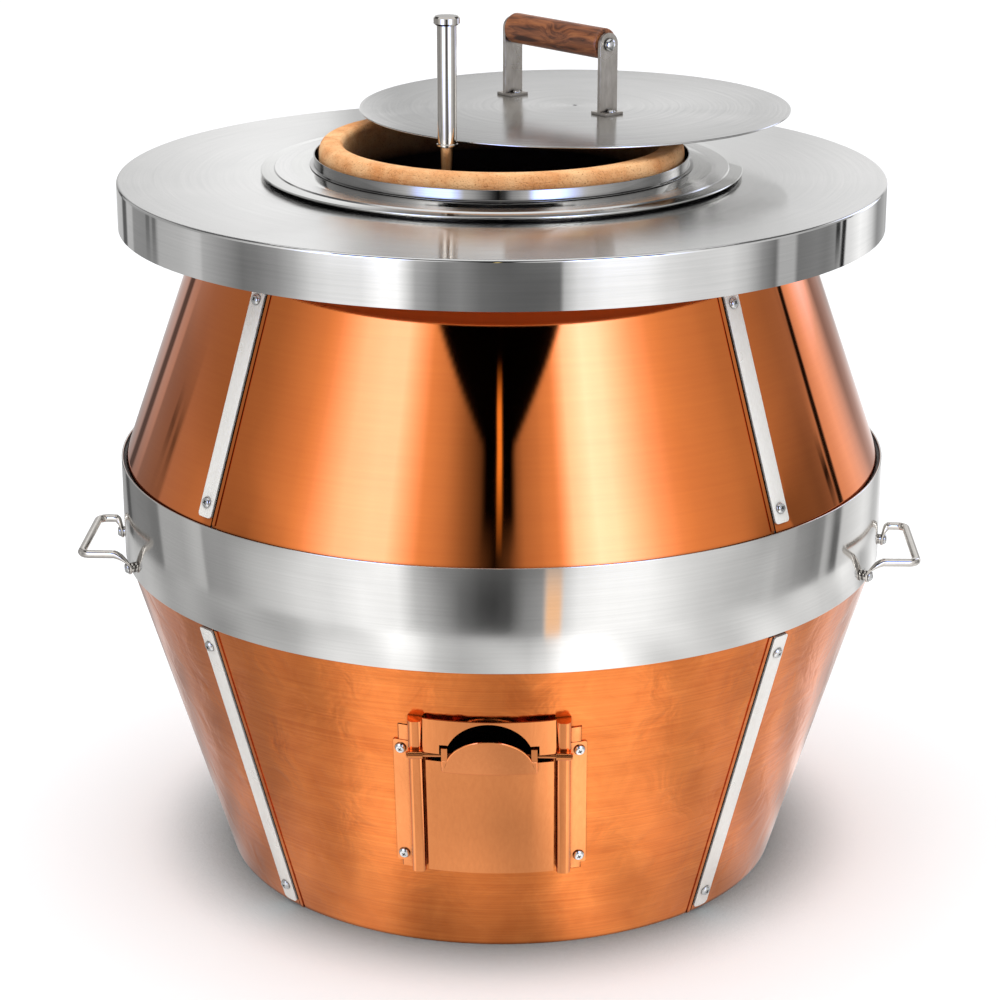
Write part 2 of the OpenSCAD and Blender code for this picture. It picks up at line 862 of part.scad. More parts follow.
// Angle of a place on the belt at a distance in front of the middle, for the right-hand side
function belt_a(y) = -asin(y / ear_out_r);
ARM_Y = [bar_forward + bar_half, bar_forward - bar_half];
neck_share = 0.95;
ROOT_R = [belt_r + front_root_gap, belt_r + rear_root_gap];

module at_ear(y)
    rotate([0, 0, belt_a(y)])
        children();

module ear_holes()
    for (side = [0, 1])
        mirror([side, 0, 0])
            for (y = ARM_Y)
                at_ear(y)
                    translate([hoop_in_r, 0, ear_z])
                        x_rod(screw_r + hole_clear, reach / 4, $fn = small_fn);

module bar_corner(sign)
    translate([bar_x - bar_bend_r, -bar_forward - sign * (bar_half - bar_bend_r), bar_z])
        rotate([0, 0, sign > 0 ? -90 : 0])
            rotate_extrude(angle = 90, $fn = small_fn)
                translate([bar_bend_r, 0])
                    circle(r = bar_r, $fn = small_fn);

module handle_arm(i) {
    y = ARM_Y[i];
    root_x = sqrt(pow(ROOT_R[i], 2) - y * y);
    translate([root_x, -y, bar_z])
        x_rod(bar_r, bar_x - bar_bend_r - root_x, $fn = small_fn);
    hull() {
        translate([root_x, -y, bar_z])
            x_rod(neck_share * bar_r, ear_t, $fn = 24);
        at_ear(y)
            translate([ear_in_r + fit_gap, fit_gap - ear_w / 2, ear_z + ear_w / 2 - fit_gap])
                cube([ear_t - 2 * fit_gap, ear_w - 2 * fit_gap, ear_t]);
    }
    at_ear(y)
        translate([belt_r + fit_gap, 0, ear_z])
            difference() {
                union() {
                    x_rod(ear_w / 2 - ear_t / 2, ear_gap + ear_t - fit_gap, $fn = small_fn);
                    translate([ear_gap - fit_gap, 0, 0])
                        x_rod(ear_w / 2, ear_t, $fn = small_fn);
                    translate([ear_gap - fit_gap, -ear_w / 2, 0])
                        cube([ear_t, ear_w, ear_w / 2 + ear_t]);
                }
                translate([-overrun, 0, 0])
                    x_rod(screw_r + hole_clear, ear_gap + ear_t + 2 * overrun, $fn = small_fn);
            }
}

module side_handle()
    color(STEEL) {
        translate([bar_x, -bar_forward, bar_z])
            y_rod(bar_r, 2 * (bar_half - bar_bend_r), $fn = small_fn);
        bar_corner(1);
        bar_corner(-1);
        handle_arm(0);
        handle_arm(1);
    }

module right_handle()
    side_handle();

module left_handle()
    mirror([1, 0, 0])
        side_handle();

// Screws of strips, door straps and side handles, all of one kind

strap_screw_u = rail_in_u + rail_w + strap_w / 2;
strap_screw_v = [rail_low_v + strap_low + strap_screw_in, rail_low_v + strap_low + strap_len - strap_screw_in];

module shell_screw(len)
    pan_screw(screw_head_r, screw_head_h, screw_r, len);

module shell_screws()
    color([0.85, 0.85, 0.86]) {
        for (a = STRIP_A) {
            for (z = lower_screw_z)
                on_lower(a, z)
                    translate([strip_t, 0, 0])
                        shell_screw(screw_len);
            for (z = upper_screw_z)
                on_upper(a, z)
                    translate([strip_t, 0, 0])
                        shell_screw(screw_len);
        }
        for (side = [-1, 1])
            for (v = strap_screw_v)
                strap_screw_place(side, v)
                    translate([strap_t, 0, 0])
                        shell_screw(screw_len - strap_t);
        for (side = [0, 1])
            mirror([side, 0, 0])
                for (y = ARM_Y)
                    at_ear(y)
                        translate([ear_out_r, 0, ear_z])
                            shell_screw(screw_len + ear_gap + ear_t);
    }

// Top plate, ring plate, collar and rope

plate_seat_z = ring_z - ring_t;
plate_seat_r = ring_r - ring_seat_in;
plate_hole_r = collar_r + collar_foot_w;
plate_step = plate_seat_z - plate_z;
BEND_STEPS = 5;

module top_plate()
    color(STEEL)
        rotate_extrude($fn = 2 * $fn)
            polygon(concat(
                [[plate_hole_r, plate_seat_z], [plate_seat_r, plate_seat_z],
                 [plate_seat_r + plate_step, plate_z]],
                [for (i = [0:BEND_STEPS])
                    [plate_r - plate_bend_r + plate_bend_r * sin(i * 90 / BEND_STEPS),
                     plate_z - plate_bend_r + plate_bend_r * cos(i * 90 / BEND_STEPS)]],
                [[plate_r, flange_z], [plate_r - plate_hem_w, flange_z],
                 [plate_r - plate_hem_w, flange_z + plate_hem_h],
                 [plate_r - plate_t, flange_z + plate_hem_h], [plate_r - plate_t, plate_z - plate_bend_r],
                 [plate_r - plate_bend_r, plate_z - plate_t],
                 [plate_seat_r + plate_step - plate_t / 2, plate_z - plate_t],
                 [plate_seat_r - plate_t / 2, plate_seat_z - plate_t], [plate_hole_r, plate_seat_z - plate_t]]
            ));

module mouth_ring()
    color(STEEL)
        rotate_extrude($fn = 2 * $fn)
            polygon(concat(
                [[collar_r + fit_gap, plate_seat_z], [collar_r + fit_gap, ring_z]],
                [for (i = [0:BEND_STEPS])
                    [ring_r - plate_bend_r + plate_bend_r * sin(i * 90 / BEND_STEPS),
                     ring_z - plate_bend_r + plate_bend_r * cos(i * 90 / BEND_STEPS)]],
                [[ring_r, ring_z - ring_lip_h], [ring_r - ring_t, ring_z - ring_lip_h],
                 [ring_r - ring_t, ring_z - plate_bend_r], [ring_r - plate_bend_r, plate_seat_z]]
            ));

module collar()
    color(STEEL)
        rotate_extrude($fn = 2 * $fn)
            polygon([
                [collar_r - collar_t, ring_z - collar_drop], [collar_r, ring_z - collar_drop], [collar_r, ring_z],
                [collar_r + collar_foot_w, ring_z], [collar_r + collar_foot_w, ring_z + collar_t / 2],
                [collar_r, ring_z + collar_t], [collar_r, collar_z], [collar_r - collar_t, collar_z]
            ]);

module rope_packing()
    color([0.16, 0.15, 0.14])
        rotate_extrude()
            translate([neck_r + rope_gap / 2, ring_z - collar_drop + rope_gap / 2])
                circle(r = rope_gap / 2 - fit_gap / 2, $fn = small_fn);

// Fire door. Its parts are placed in a frame on the shell's front line:
// x out of the shell, y across, z up along the shell from the floor.

// How far the shell's face falls back at a distance from the front line
function shell_sag(u) = door_bend_r - sqrt(door_bend_r * door_bend_r - u * u);

module door_frame()
    on_lower(PANEL_A[0], 0)
        children();

// A plate bent to the shell's curve, its face at n in front of the shell
module bent_plate(n, t, half_w, v0, v1)
    translate([0, 0, v0])
        linear_extrude(height = v1 - v0)
            intersection() {
                translate([n - door_bend_r, 0])
                    difference() {
                        circle(r = door_bend_r, $fn = 8 * $fn);
                        circle(r = door_bend_r - t, $fn = 8 * $fn);
                    }
                translate([-belt_h, -half_w])
                    square([2 * belt_h, 2 * half_w]);
            }

module port_outline() {
    translate([-port_half_w, port_low_v])
        square([2 * port_half_w, knuckle_top_v + overrun - port_low_v]);
    translate([0, arch_centre_v])
        circle(r = arch_r);
}

// Opening through the front panel
module fire_port()
    door_frame()
        translate([-duct_depth, 0, 0])
            face(2 * duct_depth)
                port_outline();

duct_depth = (belly_r - pot_base_r) / 2;

module strap_screw_place(side, v)
    door_frame()
        translate([-shell_sag(strap_screw_u), side * strap_screw_u, v])
            rotate([0, 0, side * asin(strap_screw_u / door_bend_r)])
                children();

module door_screw_holes()
    for (side = [-1, 1])
        for (v = strap_screw_v)
            strap_screw_place(side, v)
                translate([-screw_len, 0, 0])
                    x_rod(screw_r + hole_clear, 2 * screw_len, $fn = small_fn);

// A rail with its strap in one pressed piece, for the right-hand side
module door_rail() {
    out_u = rail_in_u + rail_w;
    end_u = out_u + strap_w;
    difference() {
        door_frame() {
            translate([0, 0, rail_low_v])
                linear_extrude(height = rail_len) {
                    translate([-2 * shell_sag(out_u), rail_in_u])
                        square([rail_front_n - rail_round_r + 2 * shell_sag(out_u), rail_w]);
                    translate([-2 * shell_sag(out_u), rail_in_u + rail_round_r])
                        square([rail_front_n + 2 * shell_sag(out_u), rail_w - 2 * rail_round_r]);
                    for (u = [rail_in_u + rail_round_r, out_u - rail_round_r])
                        translate([rail_front_n - rail_round_r, u])
                            circle(r = rail_round_r, $fn = small_fn);
                }
            intersection() {
                translate([0, 0, rail_low_v + strap_low])
                    linear_extrude(height = strap_len)
                        polygon([
                            [-2 * shell_sag(end_u), out_u - strap_t],
                            [strap_t - shell_sag(out_u - strap_t), out_u - strap_t],
                            [strap_t - shell_sag(end_u), end_u], [-2 * shell_sag(end_u), end_u]
                        ]);
                translate([-2 * shell_sag(end_u), out_u - strap_t, rail_low_v + strap_low])
                    face(4 * shell_sag(end_u))
                        translate([(strap_w + strap_t) / 2, 0])
                            round_rect(strap_w + strap_t, strap_len, strap_t);
            }
            hinge_ear();
        }
        lower_core();
        door_screw_holes();
        door_frame()
            translate([hinge_n, 0, hinge_v])
                y_rod(hinge_rod_r + hinge_clear, reach / 4, $fn = small_fn);
    }
}

// Ear on a rail that carries the hinge rod
ear_boss_r = 2 * hinge_rod_r;
module hinge_ear() {
    translate([hinge_n, rail_in_u + rail_w / 2, hinge_v])
        y_rod(ear_boss_r, rail_w, $fn = small_fn);
    translate([0, rail_in_u, hinge_v - ear_boss_r])
        cube([hinge_n, rail_w, 2 * ear_boss_r]);
}

module right_door_rail()
    color(COPPER)
        door_rail();

module left_door_rail()
    color(COPPER)
        mirror([1, 0, 0])
            door_rail();

module door_fascia()
    color(COPPER)
        difference() {
            door_frame()
                bent_plate(fascia_face_n, fascia_t, rail_in_u - fit_gap, fascia_top_v - fascia_h, fascia_top_v);
            door_frame()
                translate([-overrun, 0, 0])
                    face(2 * fascia_face_n) {
                        translate([0, arch_centre_v])
                            circle(r = arch_r);
                        translate([-knuckle_in_u - knuckle_w - arch_gap, fascia_top_v - fascia_h - overrun])
                            square([2 * (knuckle_in_u + knuckle_w + arch_gap),
                                    knuckle_top_v + arch_gap - fascia_top_v + fascia_h + overrun]);
                    }
        }

module hinge_rod()
    color(COPPER)
        door_frame()
            translate([hinge_n, 0, hinge_v]) {
                y_rod(hinge_rod_r, 2 * (rail_in_u + rail_w + strap_t), $fn = small_fn);
                for (side = [-1, 1])
                    translate([0, side * (rail_in_u + rail_w + strap_t / 2 + fit_gap), 0])
                        y_rod(hinge_rod_r + strap_t / 2, strap_t, $fn = small_fn);
            }

// Door plate with folded sides, a folded foot and two knuckles
module door_plate() {
    back_n = door_face_n - door_t;
    side_n = door_face_n - shell_sag(door_half_w);
    foot_bend_r = r_low(door_low_v * cos(lower_lean)) / cos(lower_lean);
    color(COPPER)
        door_frame() {
            bent_plate(door_face_n, door_t, door_half_w, door_low_v, door_low_v + door_len);
            for (side = [-1, 1])
                translate([side_n - door_t - door_fold, side * (door_half_w - door_t / 2) - door_t / 2, door_low_v])
                    cube([door_fold + door_t, door_t, door_len]);
            translate([0, 0, door_low_v])
                linear_extrude(height = door_t)
                    difference() {
                        intersection() {
                            translate([back_n - door_bend_r, 0])
                                circle(r = door_bend_r + door_t / 2, $fn = 8 * $fn);
                            translate([side_n - door_t - door_fold, -door_half_w])
                                square([2 * belt_t + door_face_n + door_fold, 2 * door_half_w]);
                        }
                        translate([2 * free_gap - foot_bend_r, 0])
                            circle(r = foot_bend_r, $fn = 8 * $fn);
                    }
            for (side = [-1, 1])
                difference() {
                    translate([back_n - shell_sag(knuckle_in_u + knuckle_w),
                               side * (knuckle_in_u + knuckle_w / 2) - knuckle_w / 2, tab_low_v])
                        cube([hinge_n + ear_boss_r - back_n + shell_sag(knuckle_in_u + knuckle_w) - fit_gap,
                              knuckle_w, knuckle_top_v - tab_low_v]);
                    translate([hinge_n, side * knuckle_in_u, hinge_v])
                        y_rod(hinge_rod_r + hinge_clear, 4 * knuckle_w, $fn = small_fn);
                    // The knuckle's foot stays behind the thumb tab
                    translate([door_face_n - shell_sag(knuckle_in_u) - fit_gap,
                               side * (knuckle_in_u + knuckle_w / 2) - knuckle_w, tab_low_v - overrun])
                        cube([belt_h, 2 * knuckle_w, hinge_v - ear_boss_r - tab_low_v + overrun]);
                }
        }
}

// Half round thumb tab, leaning out from the door plate's upper edge
module thumb_tab()
    color(COPPER)
        door_frame()
            translate([door_face_n, 0, tab_low_v])
                rotate([0, tab_lean, 0])
                    translate([-door_face_n, 0, -tab_low_v])
                        intersection() {
                            bent_plate(door_face_n + tab_t, tab_t - fit_gap, tab_half_w,
                                       tab_low_v, tab_low_v + tab_h);
                            translate([-belt_h / 2, 0, 0])
                                face(belt_h) {
                                    translate([-tab_half_w, tab_low_v])
                                        square([2 * tab_half_w, tab_foot_h]);
                                    translate([0, tab_centre_v])
                                        circle(r = tab_r);
                                }
                        }

// Sheet duct from the shell's opening to the pot's air port

module duct_block(grow)
    translate([-port_half_w - 2 * duct_t - grow, -belt_r, duct_z0 - duct_t - grow])
        cube([2 * (port_half_w + 2 * duct_t + grow), belt_r - pot_base_r / 2,
              duct_z1 - duct_z0 + 2 * (duct_t + grow)]);

module fire_duct()
    color(DARK_STEEL)
        difference() {
            intersection() {
                duct_block(0);
                rotate_extrude()
                    polygon([
                        [0, 0], [r_low(0) - rim_out, 0],
                        [r_low(lower_h) - rim_out, lower_h], [0, lower_h]
                    ]);
            }
            translate([-port_half_w - duct_t, -belt_r - overrun, duct_z0])
                cube([2 * (port_half_w + duct_t), belt_r + overrun, duct_z1 - duct_z0]);
            pot_body(free_gap * 2);
        }

// Burner, mixing tube and injector

burner_z = slab_z - well_d + free_gap;
bowl_z = gas_z - burner_h / 2;
BURNER_LEG_A = [30, 150, 270];

module burner_bowl()
    color(IRON)
        difference() {
            union() {
                translate([0, 0, bowl_z])
                    cylinder(r1 = burner_r - burner_wall, r2 = burner_r, h = burner_h);
                for (a = BURNER_LEG_A)
                    rotate([0, 0, a])
                        translate([burner_r - 3 * burner_wall, 0, burner_z])
                            cylinder(r1 = burner_wall, r2 = burner_wall + 1.5 * shell_t,
                                     h = bowl_z - burner_z + burner_wall, $fn = small_fn);
                translate([0, burner_r - 2 * burner_wall, gas_z])
                    rotate([-90, 0, 0])
                        cylinder(r = mixer_r, h = 3 * burner_wall, $fn = small_fn);
            }
            translate([0, 0, bowl_z + burner_wall])
                cylinder(r1 = burner_r - 2 * burner_wall, r2 = burner_r - burner_wall, h = burner_h);
            translate([0, burner_r / 2, gas_z])
                rotate([-90, 0, 0])
                    cylinder(r = mixer_r - mixer_wall, h = burner_r, $fn = small_fn);
        }

module burner_cap() {
    z0 = bowl_z + burner_h + fit_gap;
    color(IRON)
        difference() {
            translate([0, 0, z0])
                rotate_extrude()
                    polygon([
                        [0, 0], [burner_r, 0], [burner_r, cap_h / 2], [burner_r - burner_wall, cap_h],
                        [2 * burner_wall, cap_h], [0, cap_h + burner_wall / 2]
                    ]);
            translate([0, 0, z0 - overrun])
                cylinder(r = burner_r - burner_wall, h = cap_h / 2 + overrun);
            for (i = [0:port_count - 1])
                rotate([0, 0, i * 360 / port_count])
                    translate([burner_r - 2.5 * burner_wall, 0, z0])
                        cylinder(r = port_r, h = cap_h + burner_wall, $fn = 16);
        }
}

mixer_y = burner_r + burner_wall + fit_gap;
injector_y = mixer_y + mixer_len;

module mixing_tube()
    color(IRON)
        translate([0, mixer_y, gas_z])
            rotate([-90, 0, 0])
                rotate_extrude($fn = small_fn)
                    polygon([
                        [mixer_r - mixer_wall, 0], [mixer_r, 0], [mixer_r, mixer_len - 3 * mixer_wall],
                        [mixer_r + mixer_wall, mixer_len], [mixer_r, mixer_len],
                        [mixer_r - mixer_wall, mixer_len - 3 * mixer_wall]
                    ]);

// The injector's nose points into the mixing tube and is carried by three arms from its mouth
module injector()
    color(BRASS)
        translate([0, injector_y, gas_z])
            rotate([-90, 0, 0])
                difference() {
                    union() {
                        translate([0, 0, -2 * mixer_wall])
                            cylinder(r1 = pipe_bore_r / 2, r2 = pipe_r, h = 4 * mixer_wall, $fn = small_fn);
                        translate([0, 0, 2 * mixer_wall])
                            cylinder(r = pipe_r + mixer_wall, h = 3 * mixer_wall, $fn = small_fn);
                        for (a = [90, 210, 330])
                            rotate([0, 0, a])
                                translate([pipe_r / 2, -mixer_wall / 2, fit_gap])
                                    cube([mixer_r + mixer_wall / 2 - pipe_r / 2, mixer_wall, 3 * mixer_wall]);
                    }
                    translate([0, 0, -3 * mixer_wall])
                        cylinder(r = mixer_wall / 3, h = 5 * mixer_wall, $fn = small_fn);
                    translate([0, 0, 2 * mixer_wall])
                        cylinder(r = pipe_r + fit_gap, h = 4 * mixer_wall, $fn = small_fn);
                }

// Gas line through the rear of the shell

shell_rear_y = r_low(gas_z - gland_r);
gland_y = r_low(gas_z) + gland_h;
tap_y = gland_y + fit_gap;

module gas_pipe()
    color(BRASS)
        translate([0, injector_y + 2 * mixer_wall + fit_gap, gas_z])
            rotate([-90, 0, 0])
                difference() {
                    cylinder(r = pipe_r, h = tap_y - fit_gap - injector_y - 2 * mixer_wall - fit_gap, $fn = small_fn);
                    translate([0, 0, -overrun])
                        cylinder(r = pipe_bore_r, h = belt_r, $fn = small_fn);
                }

module pipe_gland()
    color(STEEL)
        difference() {
            translate([0, shell_rear_y - gland_r / 2, gas_z])
                rotate([-90, 0, 0])
                    rotate_extrude($fn = small_fn)
                        polygon([
                            [pipe_r + fit_gap, 0], [gland_r, 0], [gland_r, gland_y - shell_rear_y + gland_r / 4],
                            [gland_r - gland_h / 2, gland_y - shell_rear_y + gland_r / 2],
                            [pipe_r + fit_gap, gland_y - shell_rear_y + gland_r / 2]
                        ]);
            lower_core();
        }

module hex_bar(flats, len)
    cylinder(r = flats / sqrt(3), h = len, $fn = 6);

// The tap's spindle sits in the middle of its barrel
spindle_y = tap_y + tap_len / 2;
bonnet_z = gas_z + tap_r + 2 * spindle_r;

module tap_body()
    color(BRASS)
        difference() {
            union() {
                translate([0, tap_y, gas_z])
                    rotate([-90, 0, 0]) {
                        cylinder(r = tap_r, h = tap_len, $fn = small_fn);
                        hex_bar(tap_flats, tap_len / 4);
                        translate([0, 0, tap_len * 3 / 4])
                            hex_bar(tap_flats, tap_len / 4);
                    }
                translate([0, spindle_y, gas_z])
                    cylinder(r = 1.6 * spindle_r, h = bonnet_z - gas_z, $fn = small_fn);
            }
            translate([0, spindle_y, gas_z])
                cylinder(r = spindle_r + spindle_clear, h = belt_h, $fn = small_fn);
            translate([0, tap_y - overrun, gas_z])
                rotate([-90, 0, 0])
                    cylinder(r = pipe_bore_r, h = tap_len / 4, $fn = small_fn);
            translate([0, tap_y + tap_len * 3 / 4, gas_z])
                rotate([-90, 0, 0])
                    cylinder(r = pipe_bore_r, h = tap_len, $fn = small_fn);
        }

// At rest the lever stands across the line, which shuts the tap
module tap_lever()
    color([0.75, 0.1, 0.08]) {
        translate([0, spindle_y, gas_z + free_gap])
            cylinder(r = spindle_r, h = bonnet_z - gas_z + lever_t, $fn = small_fn);
        translate([0, spindle_y, bonnet_z + free_gap]) {
            cylinder(r = lever_w / 2 + spindle_r / 2, h = lever_t, $fn = small_fn);
            translate([0, -lever_w / 2, 0])
                cube([lever_len - lever_w / 2, lever_w, lever_t]);
            translate([lever_len - lever_w / 2, 0, 0])
                cylinder(r = lever_w / 2, h = lever_t, $fn = small_fn);
        }
    }

inlet_y = tap_y + tap_len + fit_gap;

module inlet_nipple()
    color(BRASS)
        translate([0, inlet_y, gas_z])
            rotate([-90, 0, 0])
                difference() {
                    union() {
                        hex_bar(tap_flats - spindle_r / 2, tap_len / 4);
                        cylinder(r = inlet_r, h = tap_len / 4 + inlet_len, $fn = small_fn);
                    }
                    translate([0, 0, -overrun])
                        cylinder(r = pipe_bore_r, h = belt_h, $fn = small_fn);
                }

// Burner guard: a plate on three legs, lifted out of the pot by its rod

guard_z = slab_z + free_gap + guard_h;
rod_x = rod_place_r * cos(rod_place_a);
rod_y = rod_place_r * sin(rod_place_a);
rod_top_z = plate_z + rod_rise;
sleeve_z = rod_top_z - rod_cap_h - sleeve_len;
GUARD_LEG_A = [30, 150, 270];

module guard_plate()
    color(DARK_STEEL) {
        difference() {
            union() {
                translate([0, 0, guard_z - guard_rim_h])
                    cylinder(r = guard_r, h = guard_rim_h + guard_t);
                translate([rod_x, rod_y, guard_z])
                    cylinder(r = rod_r + 2 * guard_t, h = guard_t + socket_h, $fn = small_fn);
            }
            translate([0, 0, guard_z - guard_rim_h - overrun])
                cylinder(r = guard_r - guard_t, h = guard_rim_h + overrun);
            translate([rod_x, rod_y, guard_z + guard_t])
                cylinder(r = rod_r + fit_gap, h = 2 * socket_h, $fn = small_fn);
        }
        for (a = GUARD_LEG_A)
            rotate([0, 0, a])
                translate([guard_leg_place_r, 0, slab_z + free_gap])
                    cylinder(r = guard_leg_r, h = guard_h + guard_t / 2, $fn = small_fn);
    }

module at_rod()
    translate([rod_x, rod_y, 0])
        children();

module guard_rod()
    color(STEEL)
        at_rod()
            translate([0, 0, guard_z + guard_t])
                cylinder(r = rod_r, h = rod_top_z - rod_cap_h / 2 - guard_z - guard_t, $fn = small_fn);

module hand_sleeve()
    color(STEEL)
        at_rod()
            translate([0, 0, sleeve_z])
                rotate_extrude($fn = small_fn)
                    polygon([
                        [rod_r + fit_gap, -sleeve_ring_h], [sleeve_ring_r - sleeve_ring_h / 4, -sleeve_ring_h],
                        [sleeve_ring_r, -sleeve_ring_h * 3 / 4], [sleeve_ring_r, -sleeve_ring_h / 4],
                        [sleeve_r, 0], [sleeve_r, sleeve_len], [rod_r + fit_gap, sleeve_len]
                    ]);

module rod_cap() {
    edge = rod_cap_h / 5;
    color(STEEL)
        at_rod()
            translate([0, 0, rod_top_z - rod_cap_h])
                rotate_extrude($fn = small_fn)
                    polygon([
                        [rod_r + fit_gap, 0], [rod_cap_r - edge, 0], [rod_cap_r, edge],
                        [rod_cap_r, rod_cap_h - edge], [rod_cap_r - edge, rod_cap_h],
                        [0, rod_cap_h], [0, rod_cap_h / 2 + fit_gap], [rod_r + fit_gap, rod_cap_h / 2 + fit_gap]
                    ]);
}

// Lid, with the pan that rests on the clay rim

lid_pan_z = rim_z + free_gap;
lid_z = lid_pan_z + lid_pan_h;
lid_top_z = lid_z + lid_t;

module at_lid()
    translate([lid_x, lid_y, 0])
        children();

module lid_plate()
    color(STEEL)
        at_lid()
            translate([0, 0, lid_z])
                difference() {
                    rotate_extrude($fn = 2 * $fn)
                        polygon([
                            [0, 0], [lid_r - lid_t / 4, 0], [lid_r, lid_t / 4],
                            [lid_r, lid_t * 3 / 4], [lid_r - lid_t / 4, lid_t], [0, lid_t]
                        ]);
                    translate([0, 0, -lid_z])
                        translate([-lid_x, -lid_y, 0])
                            lid_screw_holes();
                }

module lid_pan()
    color(STEEL)
        at_lid()
            translate([0, 0, lid_pan_z])
                rotate_extrude()
                    polygon([
                        [0, 0], [lid_pan_r - lid_pan_t, 0], [lid_pan_r, lid_pan_t],
                        [lid_pan_r, lid_pan_h - lid_pan_t],
                        [lid_pan_r + lid_pan_flange, lid_pan_h - lid_pan_t],
                        [lid_pan_r + lid_pan_flange, lid_pan_h],
                        [lid_pan_r - lid_pan_t, lid_pan_h], [lid_pan_r - lid_pan_t, lid_pan_t], [0, lid_pan_t]
                    ]);

// Lid handle: x runs along the handle, z up from the lid's face

module at_handle()
    translate([lid_x + handle_dx, lid_y + handle_dy, lid_top_z])
        rotate([0, 0, handle_a])
            children();

foot_screw_x = (foot_len + bracket_t) / 4;

module lid_screw_places()
    at_handle()
        for (side = [-1, 1])
            for (way = [-1, 1])
                translate([side * bracket_span / 2 + way * foot_screw_x, 0, 0])
                    children();

module lid_screw_holes()
    lid_screw_places()
        translate([0, 0, -lid_pan_h])
            cylinder(r = lid_screw_r + hole_clear, h = 2 * lid_pan_h, $fn = small_fn);

module bracket(side)
    color(STEEL)
        difference() {
            at_handle()
                translate([side * bracket_span / 2, 0, 0]) {
                    translate([-foot_len / 2, -bracket_w / 2, 0])
                        cube([foot_len, bracket_w, foot_t]);
                    translate([-bracket_t / 2, -bracket_w / 2, 0])
                        cube([bracket_t, bracket_w, bolt_h]);
                    translate([-bracket_t / 2, 0, bolt_h])
                        x_rod(bracket_w / 2, bracket_t, $fn = small_fn);
                }
            lid_screw_holes();
            at_handle()
                translate([-bracket_span, 0, bolt_h])
                    x_rod(grip_bolt_r + fit_gap, 2 * bracket_span, $fn = small_fn);
        }

module left_bracket()
    bracket(-1);

module right_bracket()
    bracket(1);

grip_half = bracket_span / 2 - bracket_t / 2 - washer_t - fit_gap - free_gap;

module wooden_roller()
    color(WOOD)
        at_handle()
            translate([0, 0, bolt_h])
                rotate([0, 90, 0])
                    rotate_extrude($fn = 64)
                        polygon(concat(
                            [[grip_bolt_r + grip_clear, -grip_half]],
                            [for (i = [0:BEND_STEPS])
                                [grip_r - grip_round + grip_round * sin(i * 90 / BEND_STEPS),
                                 -grip_half + grip_round - grip_round * cos(i * 90 / BEND_STEPS)]],
                            [for (i = [0:BEND_STEPS])
                                [grip_r - grip_round + grip_round * cos(i * 90 / BEND_STEPS),
                                 grip_half - grip_round + grip_round * sin(i * 90 / BEND_STEPS)]],
                            [[grip_bolt_r + grip_clear, grip_half]]
                        ));

// Bolt with a domed head at the front and a nut at the back, and its two washers
bolt_head_r = 1.7 * grip_bolt_r;
bolt_head_h = 1.4 * grip_bolt_r;
module roller_bolt()
    color([0.85, 0.85, 0.86])
        at_handle()
            translate([0, 0, bolt_h]) {
                out_x = bracket_span / 2 + bracket_t / 2;
                translate([out_x, 0, 0])
                    pan_screw(bolt_head_r, bolt_head_h, grip_bolt_r, 2 * out_x + bolt_head_h + bracket_t / 2);
                difference() {
                    translate([-out_x - bolt_head_h, 0, 0])
                        rotate([0, 90, 0])
                            hex_bar(2 * bolt_head_r, bolt_head_h);
                    translate([-2 * out_x, 0, 0])
                        x_rod(grip_bolt_r + fit_gap, 2 * out_x, $fn = small_fn);
                }
                for (x = [-bracket_span / 2 + bracket_t / 2, bracket_span / 2 - bracket_t / 2 - washer_t])
                    translate([x, 0, 0])
                        difference() {
                            x_rod(washer_r, washer_t, $fn = small_fn);
                            translate([-overrun, 0, 0])
                                x_rod(grip_bolt_r + fit_gap, washer_t + 2 * overrun, $fn = small_fn);
                        }
            }

module lid_screws()
    color([0.85, 0.85, 0.86])
        lid_screw_places()
            translate([0, 0, foot_t])
                rotate([0, -90, 0])
                    pan_screw(lid_screw_head_r, lid_screw_head_r * 2 / 3, lid_screw_r, foot_t + lid_t + lid_pan_t);

base_pan();
hearth_slab();
clay_pot();
lower_insulation();
upper_insulation();
lower_posts();
upper_posts();
mid_hoop();
top_hoop();
lower_panel_front();
lower_panel_side(1);  // lower_panel_right
lower_panel_rear();
lower_panel_side(3);  // lower_panel_left
upper_panel_wide(0);  // upper_panel_front
upper_panel_side(1);  // upper_panel_right
upper_panel_wide(2);  // upper_panel_rear
upper_panel_side(3);  // upper_panel_left
lower_strip(0);  // lower_strip_front_right
lower_strip(1);  // lower_strip_rear_right
lower_strip(2);  // lower_strip_rear_left
lower_strip(3);  // lower_strip_front_left
upper_strip(0);  // upper_strip_front_right
upper_strip(1);  // upper_strip_rear_right
upper_strip(2);  // upper_strip_rear_left
upper_strip(3);  // upper_strip_front_left
belt();
right_handle();
left_handle();
shell_screws();
top_plate();
mouth_ring();
collar();
rope_packing();
right_door_rail();
left_door_rail();
door_fascia();
hinge_rod();
fire_duct();
door_plate();
thumb_tab();
burner_bowl();
burner_cap();
mixing_tube();
injector();
gas_pipe();
pipe_gland();
tap_body();
tap_lever();
inlet_nipple();
guard_plate();
guard_rod();
hand_sleeve();
rod_cap();
lid_plate();
lid_pan();
left_bracket();
right_bracket();
wooden_roller();
roller_bolt();
lid_screws();
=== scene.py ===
"""Looks of the gas tandoor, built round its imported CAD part.

Everything is in metres in the part's own frame: the origin is the middle of the base, on the floor, +Z is up
and the fire door faces -Y. The sizes in the classes are millimetres and repeat those of the part's source.
"""

import logging
import math
from dataclasses import dataclass
from enum import Enum
from functools import partial
from typing import Callable, Sequence

import bmesh
import bpy
from mathutils import Matrix, Vector

